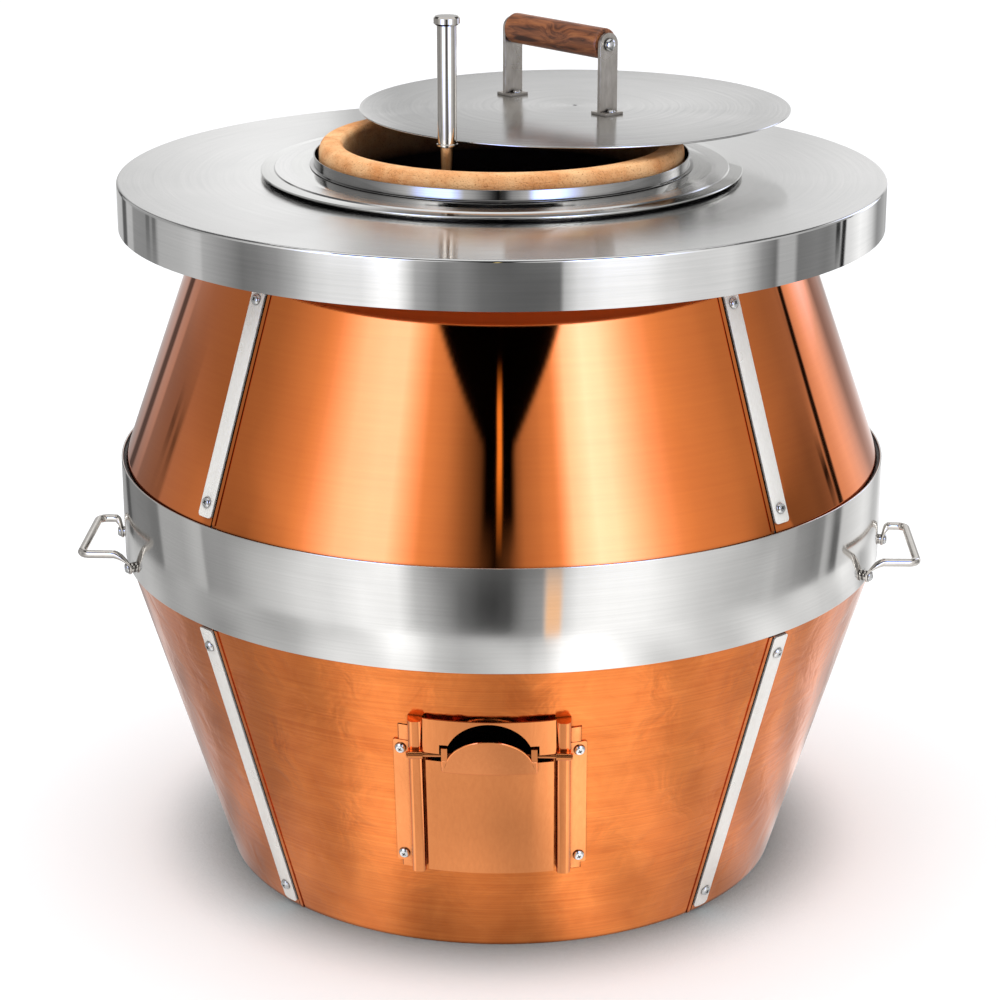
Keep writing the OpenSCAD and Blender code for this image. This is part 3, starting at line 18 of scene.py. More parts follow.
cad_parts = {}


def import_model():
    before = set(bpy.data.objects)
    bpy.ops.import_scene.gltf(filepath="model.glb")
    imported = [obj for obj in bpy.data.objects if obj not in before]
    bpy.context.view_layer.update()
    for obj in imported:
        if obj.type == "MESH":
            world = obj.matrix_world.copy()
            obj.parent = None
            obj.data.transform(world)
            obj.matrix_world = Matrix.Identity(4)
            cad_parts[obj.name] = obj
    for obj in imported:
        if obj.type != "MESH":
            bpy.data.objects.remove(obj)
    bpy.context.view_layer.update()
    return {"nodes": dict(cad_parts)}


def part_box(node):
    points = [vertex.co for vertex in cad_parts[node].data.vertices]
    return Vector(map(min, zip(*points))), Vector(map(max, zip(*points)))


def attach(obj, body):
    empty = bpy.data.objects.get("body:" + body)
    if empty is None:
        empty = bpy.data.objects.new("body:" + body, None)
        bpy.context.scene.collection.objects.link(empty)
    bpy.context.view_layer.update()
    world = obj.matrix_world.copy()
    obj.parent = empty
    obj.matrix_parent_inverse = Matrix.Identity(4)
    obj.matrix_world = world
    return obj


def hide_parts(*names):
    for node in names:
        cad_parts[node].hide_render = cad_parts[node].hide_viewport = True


LOG = logging.getLogger("tandoor")
MM = 0.001

Point = tuple[float, float]
Triple = tuple[float, float, float]
Colour = tuple[float, float, float, float]
Socket = bpy.types.NodeSocket
Piece = bpy.types.Object
# add_node with its tree already chosen
Adder = Callable[..., Socket]
# A place along a bar: its middle, its widthways direction, half width and half thickness
Station = tuple[Vector, Vector, float, float]

LEVEL_Y = Vector((0.0, 1.0, 0.0))
UP = Vector((0.0, 0.0, 1.0))


class Slot(Enum):
    """The record's material slots, handed to settle with new pieces."""

    COPPER = "copper"
    STEEL = "steel"
    POLISHED = "polished_steel"


class Body(Enum):
    """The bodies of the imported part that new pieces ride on."""

    OVEN = "oven"
    FLAP = "door_flap"
    LID = "lid"


# Colour and nodes


def linear(code: str) -> Colour:
    """Turns an sRGB hex colour into the linear values that the shaders read.

    Args:
        code: Six hex digits after a hash sign.

    Returns:
        Red, green, blue and an alpha of 1.
    """
    values = [int(code[i : i + 2], 16) / 255 for i in (1, 3, 5)]
    return (*[v / 12.92 if v <= 0.04045 else ((v + 0.055) / 1.055) ** 2.4 for v in values], 1.0)


def add_node(
    tree: bpy.types.NodeTree, kind: str, inputs: Sequence | dict = (),
    stops: Sequence[tuple[float, Colour]] = (), out: int | str = 0, **settings: object
) -> Socket | None:
    """Adds a node with its settings and links.

    Args:
        tree: The node tree.
        kind: The node's type name after ShaderNode.
        inputs: Values of the inputs in order, or by socket name or number; an output is linked instead.
        stops: Positions and colours of a colour ramp.
        out: Name or number of the output that is wanted.
        **settings: The node's own properties.

    Returns:
        That output, or nothing where the node has none.
    """
    made = tree.nodes.new("ShaderNode" + kind)
    for name, value in settings.items():
        setattr(made, name, value)
    for key, value in inputs.items() if isinstance(inputs, dict) else enumerate(inputs):
        if isinstance(value, Socket):
            tree.links.new(value, made.inputs[key])
        else:
            made.inputs[key].default_value = value
    ramp = made.color_ramp.elements if stops else ()
    for i, (place, colour) in enumerate(stops):
        stop = ramp[i] if i < 2 else ramp.new(place)
        stop.position, stop.color = place, colour
    return made.outputs[out] if made.outputs else None


def shaded(holder: bpy.types.ID, output: str, shader: Callable[[Adder], Socket]) -> bpy.types.ID:
    """Gives a material or a world its nodes.

    Args:
        holder: The material or world.
        output: Type name of its output node, after ShaderNode.
        shader: Builds the other nodes and returns what the output reads.

    Returns:
        The material or world.
    """
    holder.use_nodes = True
    holder.node_tree.nodes.clear()
    add = partial(add_node, holder.node_tree)
    add(output, {"Surface": shader(add)})
    return holder


def painted_corner_shade(add: Adder, colour: Socket) -> Socket:
    """Paints shade into a metal's colour in corners and narrow gaps, where ambient occlusion finds them
    close.

    Args:
        add: Adds a node to the material's tree.
        colour: The metal's own colour.

    Returns:
        The colour with its painted shade.
    """
    # Painted shade: close occlusion mixes the colour towards near black
    open_sky = add("AmbientOcclusion", {"Distance": 5 * MM}, samples=6, out="AO")
    unshaded_share = add("MapRange", (open_sky, 0.25, 0.85, 0.10, 1))
    return add("Mix", {"Factor": unshaded_share, 6: (0.012, 0.008, 0.006, 1), 7: colour}, data_type="RGBA", out=2)


# Finishes


@dataclass(frozen=True)
class Finish:
    """A surface finish with one procedural material, made on first use."""

    name: str

    def material(self) -> bpy.types.Material:
        """The finish's material, the same one for every piece that has the finish."""
        made = bpy.data.materials
        return made.get(self.name) or shaded(made.new(self.name), "OutputMaterial", self.shader)

    def shader(self, add: Adder) -> Socket:
        """Builds the finish's nodes and returns the shader's output."""
        raise NotImplementedError

    def dress(self, piece: Piece) -> None:
        """Gives the whole piece this finish."""
        piece.data.materials.clear()
        piece.data.materials.append(self.material())


@dataclass(frozen=True)
class RoundBrushed(Finish):
    """Sheet metal brushed round an upright axis: rings on a flat face and level lines on an upright wall.

    The brush leaves fine parallel scratches, so a highlight is drawn out across them, and the sheet's slight
    waviness clouds the reflections.
    """

    light: str = "#D9D9D7"
    dark: str = "#BDBDBB"
    rough_low: float = 0.16
    rough_high: float = 0.26
    line_mm: float = 1.6
    line_depth_mm: float = 0.004
    cloud_mm: float = 90.0
    wave_mm: float = 0.0
    anisotropy: float = 0.7
    lacquer: float = 0.0
    centre: Point = (0.0, 0.0)
    # Below this height the sheet is an upright flange, rubbed to a shine that is this share of the roughness
    flange_z: float = 0.0
    flange_share: float = 1.0
    # Within this radius and below the top face is the underside, which keeps a matt pale mill finish
    underside_r: float = 0.0

    def shader(self, add: Adder) -> Socket:
        """Builds the nodes: rings, clouds, colour, roughness, scratches and the brushing's direction."""
        place = add("TexCoord", out="Object")
        moved = add("Mapping", {"Vector": place, "Location": (-self.centre[0] * MM, -self.centre[1] * MM, 0)})
        flat = add("VectorMath", (moved, (1, 1, 0)), operation="MULTIPLY")
        radius = add("VectorMath", (flat,), operation="LENGTH", out="Value")
        height = add("SeparateXYZ", (moved,), out="Z")
        across = add("Math", (radius, height), operation="ADD")
        # The noise changes fast across the scratches and slowly along them
        across = add("Math", (across, 1 / (self.line_mm * MM)), operation="MULTIPLY")
        slow = add("VectorMath", {0: flat, 3: 7.0}, operation="SCALE")
        across = add("CombineXYZ", (0, 0, across))
        lines_at = add("VectorMath", (slow, across), operation="ADD")
        lines = add("TexNoise", {"Vector": lines_at, "Scale": 1.0, "Detail": 3.0, "Roughness": 0.6})
        clouds = add("TexNoise", {"Vector": moved, "Scale": 1 / (self.cloud_mm * MM), "Detail": 3.0,
            "Distortion": 0.6})
        shade = add("Math", (lines, clouds), operation="ADD")
        shade = add("MapRange", (shade, 0.6, 1.4))
        colour = add("ValToRGB", {"Fac": shade}, stops=[(0.0, linear(self.dark)), (1.0, linear(self.light))])
        rough = add("MapRange", (clouds, 0.3, 0.7, self.rough_low, self.rough_high))
        strength: Socket | float = 1.0
        if self.flange_z:
            foot, head = (self.flange_z - 1.5) * MM, self.flange_z * MM
            strength = add("MapRange", (height, foot, head, self.flange_share))
            rough = add("Math", (rough, strength), operation="MULTIPLY")
        scratches = add("Bump", {"Height": lines, "Strength": strength, "Distance": self.line_depth_mm * MM})
        if self.wave_mm:
            scratches = add("Bump", {"Height": clouds, "Strength": 1.0, "Distance": self.wave_mm * MM,
                "Normal": scratches})
        metallic: Socket | float = 1.0
        if self.underside_r:
            inside = add("Math", (radius, self.underside_r * MM), operation="LESS_THAN")
            metallic = add("MapRange", (height, foot, foot + 0.0002, 0.0))
            outside = add("Math", (1.0, inside), operation="SUBTRACT")
            metallic = add("Math", (metallic, outside), operation="MAXIMUM")
            matt = add("Math", (0.7, metallic), operation="SUBTRACT")
            rough = add("Math", (rough, matt), operation="MAXIMUM")
        # Painted shade darkens the colour in corners and narrow gaps
        colour = painted_corner_shade(add, colour)
        unit = add("VectorMath", (flat,), operation="NORMALIZE")
        grain = add("VectorMath", (unit, (0, 0, 1)), operation="ADD")
        return add("BsdfPrincipled", {"Base Color": colour, "Metallic": metallic, "Roughness": rough,
            "Anisotropic": self.anisotropy, "Coat Weight": self.lacquer, "Coat Roughness": 0.06,
            "Normal": scratches, "Tangent": grain})


@dataclass(frozen=True)
class PlainMetal(Finish):
    """Metal with an even finish: chrome, satin, cast or brass, with faint grain and smudges."""

    light: str = "#E4E4E2"
    dark: str = "#CFCFCD"
    rough_low: float = 0.05
    rough_high: float = 0.12
    grain_mm: float = 6.0
    stretch: Triple = (1.0, 1.0, 1.0)
    bump_mm: float = 0.0
    lacquer: float = 0.0
    metallic: float = 1.0

    def shader(self, add: Adder) -> Socket:
        """Builds the nodes: grain, colour, roughness and bump."""
        place = add("TexCoord", out="Object")
        drawn = add("Mapping", {"Vector": place, "Scale": self.stretch})
        grain = add("TexNoise", {"Vector": drawn, "Scale": 1 / (self.grain_mm * MM), "Detail": 4.0,
            "Roughness": 0.6})
        smudge = add("TexNoise", {"Vector": place, "Scale": 22.0, "Detail": 2.0})
        colour = add("ValToRGB", {"Fac": grain}, stops=[(0.3, linear(self.dark)), (0.7, linear(self.light))])
        rough = add("MapRange", (smudge, 0.3, 0.7, self.rough_low, self.rough_high))
        normal = add("Bump", {"Height": grain, "Strength": 1.0, "Distance": self.bump_mm * MM})
        # Painted shade darkens the colour in corners and narrow gaps
        colour = painted_corner_shade(add, colour)
        return add("BsdfPrincipled", {"Base Color": colour, "Metallic": self.metallic, "Roughness": rough,
            "Coat Weight": self.lacquer, "Coat Roughness": 0.06, "Normal": normal})


@dataclass(frozen=True)
class FiredClay(Finish):
    """Hand-rubbed fired clay: a matt grainy body with sand specks, pores and short drying cracks."""

    pale: str = "#FAC58E"
    deep: str = "#E59B5E"
    speck: str = "#B5703C"
    # Near-black painted shade of the wall inside the mouth
    inside: str = "#140A06"
    sand_mm: float = 1.8

    def shader(self, add: Adder) -> Socket:
        """Builds the nodes: mottle, sand, cracks, the painted shade inside and bump."""
        place = add("TexCoord", out="Object")
        mottle = add("TexNoise", {"Vector": place, "Scale": 28.0, "Detail": 6.0, "Roughness": 0.65})
        sand = add("TexNoise", {"Vector": place, "Scale": 1 / (self.sand_mm * MM), "Detail": 3.0})
        colour = add("ValToRGB", {"Fac": mottle},
            stops=[(0.32, linear(self.deep)), (0.62, linear(self.pale))])
        specks = add("MapRange", (sand, 0.32, 0.42, 0.7, 0))
        speckled = add("Mix", {"Factor": specks, 6: colour, 7: linear(self.speck)}, data_type="RGBA", out=2)
        cracks_at = add("Mapping", {"Vector": place, "Scale": (1.0, 1.0, 0.35)})
        cracks = add("TexVoronoi", {"Vector": cracks_at, "Scale": 120.0, "Randomness": 1.0},
            feature="DISTANCE_TO_EDGE")
        crack = add("MapRange", (cracks, 0.0, 0.035, 1, 0))
        where = add("MapRange", (mottle, 0.5, 0.42, 0, 0.35))
        crack = add("Math", (crack, where), operation="MULTIPLY")
        cracked = add("Mix", {"Factor": crack, 6: speckled, 7: linear(self.speck)}, data_type="RGBA", out=2)
        # Painted shade: the wall below the rim darkens to near black, standing in for the shade inside the
        # mouth
        height = add("SeparateXYZ", (place,), out="Z")
        painted_shade_below_rim = add("MapRange", (height, 0.782, 0.745))
        body = add("Mix", {"Factor": painted_shade_below_rim, 6: cracked, 7: linear(self.inside)}, data_type="RGBA", out=2)
        grains = add("Bump", {"Height": sand, "Strength": 1.0, "Distance": 1.1 * MM})
        relief = add("Bump", {"Height": crack, "Strength": 0.6, "Distance": 0.8 * MM, "Normal": grains},
            invert=True)
        return add("BsdfPrincipled", {"Base Color": body, "Roughness": 0.9, "Specular IOR Level": 0.25,
            "Normal": relief})


@dataclass(frozen=True)
class OiledWalnut(Finish):
    """Turned and oiled walnut: long dark grain lines along the roller and one knot, under a satin oil."""

    pale: str = "#A8683A"
    middle: str = "#7A4424"
    deep: str = "#43210F"
    knot: Triple = (0.0, 0.0, 0.0)
    turn: float = 0.0

    def shader(self, add: Adder) -> Socket:
        """Builds the nodes: grain bent round a knot, colour, pores and the oil."""
        place = add("TexCoord", out="Object")
        centred = add("VectorMath", (place, self.knot), operation="SUBTRACT")
        level = add("VectorRotate", {"Vector": centred, "Angle": -self.turn}, rotation_type="Z_AXIS")
        drawn = add("Mapping", {"Vector": level, "Scale": (0.14, 1.0, 1.0)})
        # Distance from the knot swells the grain round it
        near = add("VectorMath", (level, (0.55, 1, 1)), operation="MULTIPLY")
        near = add("VectorMath", (near,), operation="LENGTH", out="Value")
        swell = add("MapRange", (near, 0.0, 0.016, 0.009, 0.0), interpolation_type="SMOOTHSTEP")
        bend = add("CombineXYZ", (0.0, swell, swell))
        grain_at = add("VectorMath", (drawn, bend), operation="ADD")
        grain = add("TexNoise", {"Vector": grain_at, "Scale": 190.0, "Detail": 5.0, "Roughness": 0.62,
            "Distortion": 0.8})
        colour = add("ValToRGB", {"Fac": grain}, stops=[(0.34, linear(self.deep)), (0.66, linear(self.pale)),
            (0.46, linear(self.middle)), (0.56, linear("#94562E"))])
        heart = add("MapRange", (near, 0.0015, 0.0042, 0.8, 0))
        knotted = add("Mix", {"Factor": heart, 6: colour, 7: linear("#351A0C")}, data_type="RGBA", out=2)
        pores = add("Bump", {"Height": grain, "Strength": 0.35, "Distance": 0.3 * MM})
        return add("BsdfPrincipled", {"Base Color": knotted, "Roughness": 0.42, "Coat Weight": 0.25,
            "Coat Roughness": 0.2, "Normal": pores})


@dataclass(frozen=True)
class Mineral(Finish):
    """Matt mineral stuff: refractory slab, ceramic wool and rope."""

    pale: str = "#D8D2C6"
    deep: str = "#B7AE9F"
    grain_mm: float = 4.0
    bump_mm: float = 0.6
    roughness: float = 0.95

    def shader(self, add: Adder) -> Socket:
        """Builds the nodes: mottle and bump."""
        place = add("TexCoord", out="Object")
        grain = add("TexNoise", {"Vector": place, "Scale": 1 / (self.grain_mm * MM), "Detail": 5.0,
            "Roughness": 0.7})
        colour = add("ValToRGB", {"Fac": grain}, stops=[(0.3, linear(self.deep)), (0.7, linear(self.pale))])
        normal = add("Bump", {"Height": grain, "Strength": 0.9, "Distance": self.bump_mm * MM})
        return add("BsdfPrincipled", {"Base Color": colour, "Roughness": self.roughness,
            "Specular IOR Level": 0.2, "Normal": normal})


@dataclass(frozen=True)
class Finishes:
    """Every finish on the tandoor, each named for its real material."""

    # Copper sheet, polished almost to a mirror and lacquered, so the room shows in it with soft edges
    upper_copper: Finish = RoundBrushed(
        "lacquered_polished_copper", "#E27D3D", "#DB763A", 0.03, 0.05, 2.2, 0.0010, 120.0, 0.0, 0.6, 0.1
    )
    # Copper sheet, hand brushed and lacquered, cloudy where the brush turned
    lower_copper: Finish = RoundBrushed(
        "lacquered_brushed_copper", "#EC8945", "#CC6A30", 0.11, 0.19, 2.4, 0.003, 42.0, 1.6, 0.6, 0.1
    )
    # Copper sheet of the fire door, satin and lacquered, brushed up and down
    door_copper: Finish = PlainMetal(
        "lacquered_satin_copper", "#F0965A", "#EA8F54", 0.13, 0.17, 3.0, (1.0, 1.0, 0.06), 0.0015, 0.1
    )
    # Stainless steel brushed round the body and then buffed, so that upright edges reflect sharply
    belt_steel: Finish = RoundBrushed(
        "buffed_brushed_stainless", "#E2E1DF", "#D6D5D3", 0.07, 0.11, 1.8, 0.0015, 80.0, 0.0, 0.9
    )
    # Stainless plate spun and brushed in rings, with soft fans of light
    plate_steel: Finish = RoundBrushed(
        "ring_brushed_stainless", "#E6E5E4", "#D6D6D5", 0.12, 0.20, 2.6, 0.008, 140.0, 0.0, 0.85,
        flange_z=755.2, flange_share=0.36, underside_r=405.4
    )
    # The lid's own rings lie round its middle
    lid_steel: Finish = RoundBrushed(
        "ring_brushed_lid_stainless", "#E2E1E0", "#C2C2C1", 0.14, 0.22, 2.8, 0.012, 110.0, 0.0, 0.8, 0.0,
        (76.6, 112.1)
    )
    # Mirror-polished stainless of the narrow collar; its colour is darker than the other stainless, painted
    # shade that makes the collar a dark band
    collar_steel: Finish = RoundBrushed(
        "polished_collar_stainless", "#ABAAA9", "#9A9998", 0.035, 0.05, 1.4, 0.0006, 80.0, 0.0, 0.4
    )
    ring_steel: Finish = RoundBrushed(
        "buffed_ring_stainless", "#DEDEDC", "#D2D2D0", 0.07, 0.11, 1.5, 0.0015, 60.0, 0.0, 0.8
    )
    # Flat stainless bar with a satin polish; its near-white, partly matt colour is brighter than the other
    # stainless, a painted highlight
    bar_steel: Finish = PlainMetal(
        "satin_stainless_bar", "#FAF8F4", "#F2EFEA", 0.26, 0.34, 2.0, (1, 1, 0.1), 0.003, 0.0, 0.35
    )
    # Chromed steel rod and tube
    chrome: Finish = PlainMetal("chromed_steel", "#C6C1BB", "#BEB9B3", 0.04, 0.07, 5.0)
    # Drawn stainless rod, tumbled bright
    rod_steel: Finish = PlainMetal("tumbled_stainless_rod", "#DDD8D2", "#CFCAC4", 0.04, 0.07, 5.0)
    # Zinc-bright steel of screws and bolt
    screw_steel: Finish = PlainMetal(
        "bright_screw_steel", "#DADADA", "#C8C8C8", 0.14, 0.22, 1.5, bump_mm=0.01
    )
    bracket_steel: Finish = PlainMetal(
        "milled_stainless_flat", "#D8D2CB", "#B9B2AA", 0.24, 0.34, 7.0, (1, 1, 0.3), 0.01
    )
    frame_steel: Finish = PlainMetal(
        "grey_painted_steel", "#6E6E6E", "#5C5C5C", 0.5, 0.6, 3.0, bump_mm=0.03, metallic=0.0
    )
    clay: Finish = FiredClay("fired_pot_clay")
    slab: Finish = Mineral("cast_refractory", "#CFC4B2", "#A99C88", 5.0, 0.8)
    wool: Finish = Mineral("ceramic_fibre_wool", "#F0EBDF", "#D8D1C2", 3.0, 1.5)
    rope: Finish = Mineral("woven_ceramic_rope", "#2E2B29", "#171514", 1.5, 0.8)
    # Sand-cast iron with a black oven finish
    iron: Finish = PlainMetal("cast_iron", "#3A3938", "#242322", 0.55, 0.7, 1.6, bump_mm=0.12, metallic=0.6)
    brass: Finish = PlainMetal("turned_brass", "#D9B461", "#C79E4B", 0.18, 0.28, 4.0, bump_mm=0.004)
    # Red dipped vinyl over the lever
    red_lever: Finish = PlainMetal(
        "red_dipped_vinyl", "#C42A20", "#A81F17", 0.35, 0.45, 2.0, bump_mm=0.02, metallic=0.0
    )


FINISH = Finishes()


# Modelling


def ease(low: float, high: float, at: float) -> float:
    """The smooth share of the way from low to high; low may be the larger."""
    t = min(max((at - low) / (high - low), 0.0), 1.0)
    return t * t * (3 - 2 * t)


def begin() -> None:
    """Leaves edit mode and deselects everything, because the frame arrives selected."""
    if bpy.context.mode != "OBJECT":
        bpy.ops.object.mode_set(mode="OBJECT")
    bpy.ops.object.select_all(action="DESELECT")


def choose(*pieces: Piece) -> None:
    """Selects these pieces and nothing else, the first of them active."""
    begin()
    for piece in pieces:
        piece.select_set(True)
    bpy.context.view_layer.objects.active = pieces[0]


def edit() -> None:
    """Enters edit mode with everything selected."""
    bpy.ops.object.mode_set(mode="EDIT")
    bpy.ops.mesh.select_all(action="SELECT")


def placed(name: str, data: bpy.types.ID) -> Piece:
    """A new object of the scene that shows this mesh, lamp or camera."""
    made = bpy.data.objects.new(name, data)
    bpy.context.scene.collection.objects.link(made)
    return made


def settle(piece: Piece, finish: Finish, slot: Slot, *replaces: str, body: Body = Body.OVEN) -> None:
    """Finishes a new piece: its finish, its body and the CAD nodes that it stands for.

    Args:
        piece: A piece whose place is in its mesh.
        finish: Its finish.
        slot: The record's material slot; not used.
        *replaces: Names of CAD nodes.
        body: The body it moves with.
    """
    begin()
    finish.dress(piece)
    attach(piece, body.value)
    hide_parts(*replaces)
    LOG.info("%s: %d faces on %s", piece.name, len(piece.data.polygons), body.value)


def rounded(corners: Sequence[Triple], steps: int = 5) -> list[Point]:
    """Rounds the corners of an outline.

    Args:
        corners: Two coordinates and a radius for each corner; the first and last stay sharp.
        steps: Facets of each rounding.

    Returns:
        The outline's points.
    """
    points: list[Point] = [corners[0][:2]]
    for before, corner, after in zip(corners, corners[1:], corners[2:]):
        at = Vector(corner[:2])
        back, ahead = Vector(before[:2]) - at, Vector(after[:2]) - at
        if corner[2] <= 0:
            points.append(corner[:2])
            continue
        half = back.angle(ahead) / 2
        back.normalize()
        ahead.normalize()
        middle = at + (back + ahead).normalized() * (corner[2] / math.sin(half))
        first = at + back * (corner[2] / math.tan(half)) - middle
        last = at + ahead * (corner[2] / math.tan(half)) - middle
        swing = first.angle_signed(last)
        for i in range(steps + 1):
            turned = Matrix.Rotation(-swing * i / steps, 2) @ first
            points.append(tuple(middle + turned))
    points.append(corners[-1][:2])
    return points


def finish_mesh(piece: Piece, smooth: float = 32.0) -> Piece:
    """Merges doubles, turns the faces outward and smooths all but the sharp edges.

    Args:
        piece: The active piece, in edit mode.
        smooth: Greatest angle in degrees that still looks smooth.

    Returns:
        The piece, in object mode.
    """
    bpy.ops.mesh.select_all(action="SELECT")
    bpy.ops.mesh.remove_doubles(threshold=0.004 * MM)
    bpy.ops.mesh.normals_make_consistent(inside=False)
    bpy.ops.object.mode_set(mode="OBJECT")
    bpy.ops.object.shade_smooth_by_angle(angle=math.radians(smooth))
    return piece


def turned(name: str, outline: Sequence[Point], steps: int = 180, centre: Point = (0.0, 0.0)) -> Piece:
    """Spins an outline round an upright axis: one vertex is drawn along it and then turned.

    Args:
        name: The piece's name.
        outline: Radius and height in millimetres, from the first point to the last.
        steps: Facets round the axis.
        centre: Where the axis stands.

    Returns:
        The piece.
    """
    begin()
    start = outline[0]
    bpy.ops.mesh.primitive_plane_add(
        size=0.5 * MM, location=((centre[0] + start[0]) * MM, centre[1] * MM, start[1] * MM)
    )
    piece = bpy.context.object
    piece.name = name
    bpy.ops.object.transform_apply(location=True, rotation=True, scale=True)
    edit()
    bpy.ops.mesh.merge(type="CENTER")
    for a, b in zip(outline, outline[1:]):
        bpy.ops.mesh.extrude_vertices_move(
            TRANSFORM_OT_translate={"value": ((b[0] - a[0]) * MM, 0.0, (b[1] - a[1]) * MM)}
        )
    bpy.ops.mesh.select_all(action="SELECT")
    bpy.ops.mesh.spin(
        steps=steps, angle=math.tau, center=(centre[0] * MM, centre[1] * MM, 0.0), axis=(0.0, 0.0, 1.0)
    )
    return finish_mesh(piece)


def drawn(name: str, rings: Sequence[Sequence[Vector]]) -> Piece:
    """Draws a closed bar through rings of points, extruded ring by ring from a filled circle.

    Args:
        name: The piece's name.
        rings: Rings of equal numbers of points, in metres.

    Returns:
        The piece.
    """
    begin()
    bpy.ops.mesh.primitive_circle_add(vertices=len(rings[0]), radius=1.0, fill_type="NGON")
    piece = bpy.context.object
    piece.name = name
    edit()
    form = bmesh.from_edit_mesh(piece.data)
    previous: list[Vector] = [v.co.copy() for v in form.verts]
    for i, ring in enumerate(rings):
        if i:
            bpy.ops.mesh.extrude_region_move(TRANSFORM_OT_translate={"value": (0.0, 0.0, 0.0)})
            form = bmesh.from_edit_mesh(piece.data)
        for vertex in [v for v in form.verts if v.select]:
            nearest = min(range(len(previous)), key=lambda k: (previous[k] - vertex.co).length_squared)
            vertex.co = ring[nearest]
        bmesh.update_edit_mesh(piece.data)
        previous = [p.copy() for p in ring]
    return finish_mesh(piece, 40.0)


def softened(name: str, source: Piece, width: float, segments: int = 2) -> Piece:
    """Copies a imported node's shape and rounds its edges, as a press or a file leaves them.

    Args:
        name: The piece's name.
        source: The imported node, which stays as it is.
        width: Width of the rounding in millimetres.
        segments: Facets of the rounding.

    Returns:
        The piece.
    """
    piece = placed(name, source.data.copy())
    choose(piece)
    if piece.data.has_custom_normals:
        bpy.ops.mesh.customdata_custom_splitnormals_clear()
    edit()
    bpy.ops.mesh.remove_doubles(threshold=0.002 * MM)
    bpy.ops.mesh.dissolve_limited(angle_limit=math.radians(0.6))
    finish_mesh(piece, 28.0)
    rounding = piece.modifiers.new("filed_edges", "BEVEL")
    rounding.width, rounding.segments = width * MM, segments
    rounding.limit_method, rounding.angle_limit = "ANGLE", math.radians(40)
    rounding.use_clamp_overlap = True
    bpy.ops.object.modifier_apply(modifier=rounding.name)
    bpy.ops.object.shade_smooth_by_angle(angle=math.radians(38))
    return piece


def joined(name: str, pieces: Sequence[Piece]) -> Piece:
    """Joins pieces into the first of them.

    Args:
        name: The joined piece's name.
        pieces: The pieces.

    Returns:
        The joined piece.
    """
    choose(*pieces)
    bpy.ops.object.join()
    pieces[0].name = name
    return pieces[0]


def copied(piece: Piece, places: Sequence[Matrix]) -> list[Piece]:
    """Copies a piece, each copy with its own mesh, to places in the part's frame, and removes the piece.

    Args:
        piece: The master, made round the origin.
        places: Where each copy goes.

    Returns:
        The copies.
    """
    made = []
    for i, place in enumerate(places):
        made.append(placed(f"{piece.name}_{i}", piece.data.copy()))
        made[-1].data.transform(place)
    bpy.data.objects.remove(piece)
    return made


def pan_head(name: str, radius: float, height: float) -> Piece:
    """A pan head with a cross recess, standing on the origin along +Z.

    Args:
        name: The piece's name.
        radius: Radius of the head in millimetres.
        height: Height of the head.

    Returns:
        The head.
    """
    outline = rounded(
        [(0.0, 0.0, 0), (radius, 0.0, 0.2), (radius, 0.42 * height, 0.35 * height),
        (0.72 * radius, height, 1.2), (0.0, 1.06 * height, 0)], 4
    )
    head = turned(name, outline, 32)
    for turn in (0.0, math.pi / 2):
        begin()
        bpy.ops.mesh.primitive_cube_add(
            size=1.0, location=(0.0, 0.0, 1.06 * height * MM), rotation=(0.0, 0.0, turn)
        )
        bar = bpy.context.object
        bar.scale = (1.05 * radius * MM, 0.26 * radius * MM, 1.1 * height * MM)
        bpy.ops.object.transform_apply(location=True, rotation=True, scale=True)
        # The recess narrows as it goes down
        for vertex in bar.data.vertices:
            if vertex.co.z < height * MM:
                vertex.co.x *= 0.45
                vertex.co.y *= 0.6
        choose(head)
        cut = head.modifiers.new("cross_recess", "BOOLEAN")
        cut.operation, cut.object, cut.solver = "DIFFERENCE", bar, "EXACT"
        bpy.ops.object.modifier_apply(modifier=cut.name)
        bpy.data.objects.remove(bar)
    bpy.ops.object.shade_smooth_by_angle(angle=math.radians(35))
    return head


def facing(place: Vector, direction: Vector, turn: float = 0.0) -> Matrix:
    """A matrix to a place in millimetres whose +Z looks along a direction, turned about it in degrees."""
    look = direction.to_track_quat("Z", "Y").to_matrix().to_4x4()
    return Matrix.Translation(place * MM) @ look @ Matrix.Rotation(math.radians(turn), 4, "Z")


@dataclass(frozen=True)
class Cone:
    """One half of the shell: a cone between two heights."""

    low_z: float
    low_r: float
    high_z: float
    high_r: float

    @property
    def lean(self) -> float:
        """Lean of the wall from the upright in radians, positive where it leans out."""
        return math.atan2(self.high_r - self.low_r, self.high_z - self.low_z)

    def place(self, azimuth: float, height: float, out: float) -> tuple[Vector, Vector]:
        """A point off the wall, and the wall's outward direction there.

        Args:
            azimuth: In degrees from +X.
            height: Of the point on the wall.
            out: How far the point stands off the wall.

        Returns:
            The point in millimetres and the direction.
        """
        turn = math.radians(azimuth)
        radius = self.low_r + (self.high_r - self.low_r) * (height - self.low_z) / (self.high_z - self.low_z)
        level = Vector((math.cos(turn), math.sin(turn), 0.0))
        normal = level * math.cos(self.lean) - UP * math.sin(self.lean)
        return level * radius + UP * height + normal * out, normal


LOWER = Cone(0.0, 306.5, 347.0, 410.5)
UPPER = Cone(455.5, 408.1, 706.0, 319.3)


@dataclass
class Assembly:
    """A sub-assembly of the tandoor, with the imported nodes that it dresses."""

    nodes: dict[str, Piece]

    def dress(self, finish: Finish, *names: str) -> None:
        """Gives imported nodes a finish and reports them."""
        for name in names:
            finish.dress(self.nodes[name])
            LOG.info("%s: packed node in %s", name, finish.name)

    def build(self) -> None:
        """Builds and dresses the sub-assembly."""
        raise NotImplementedError


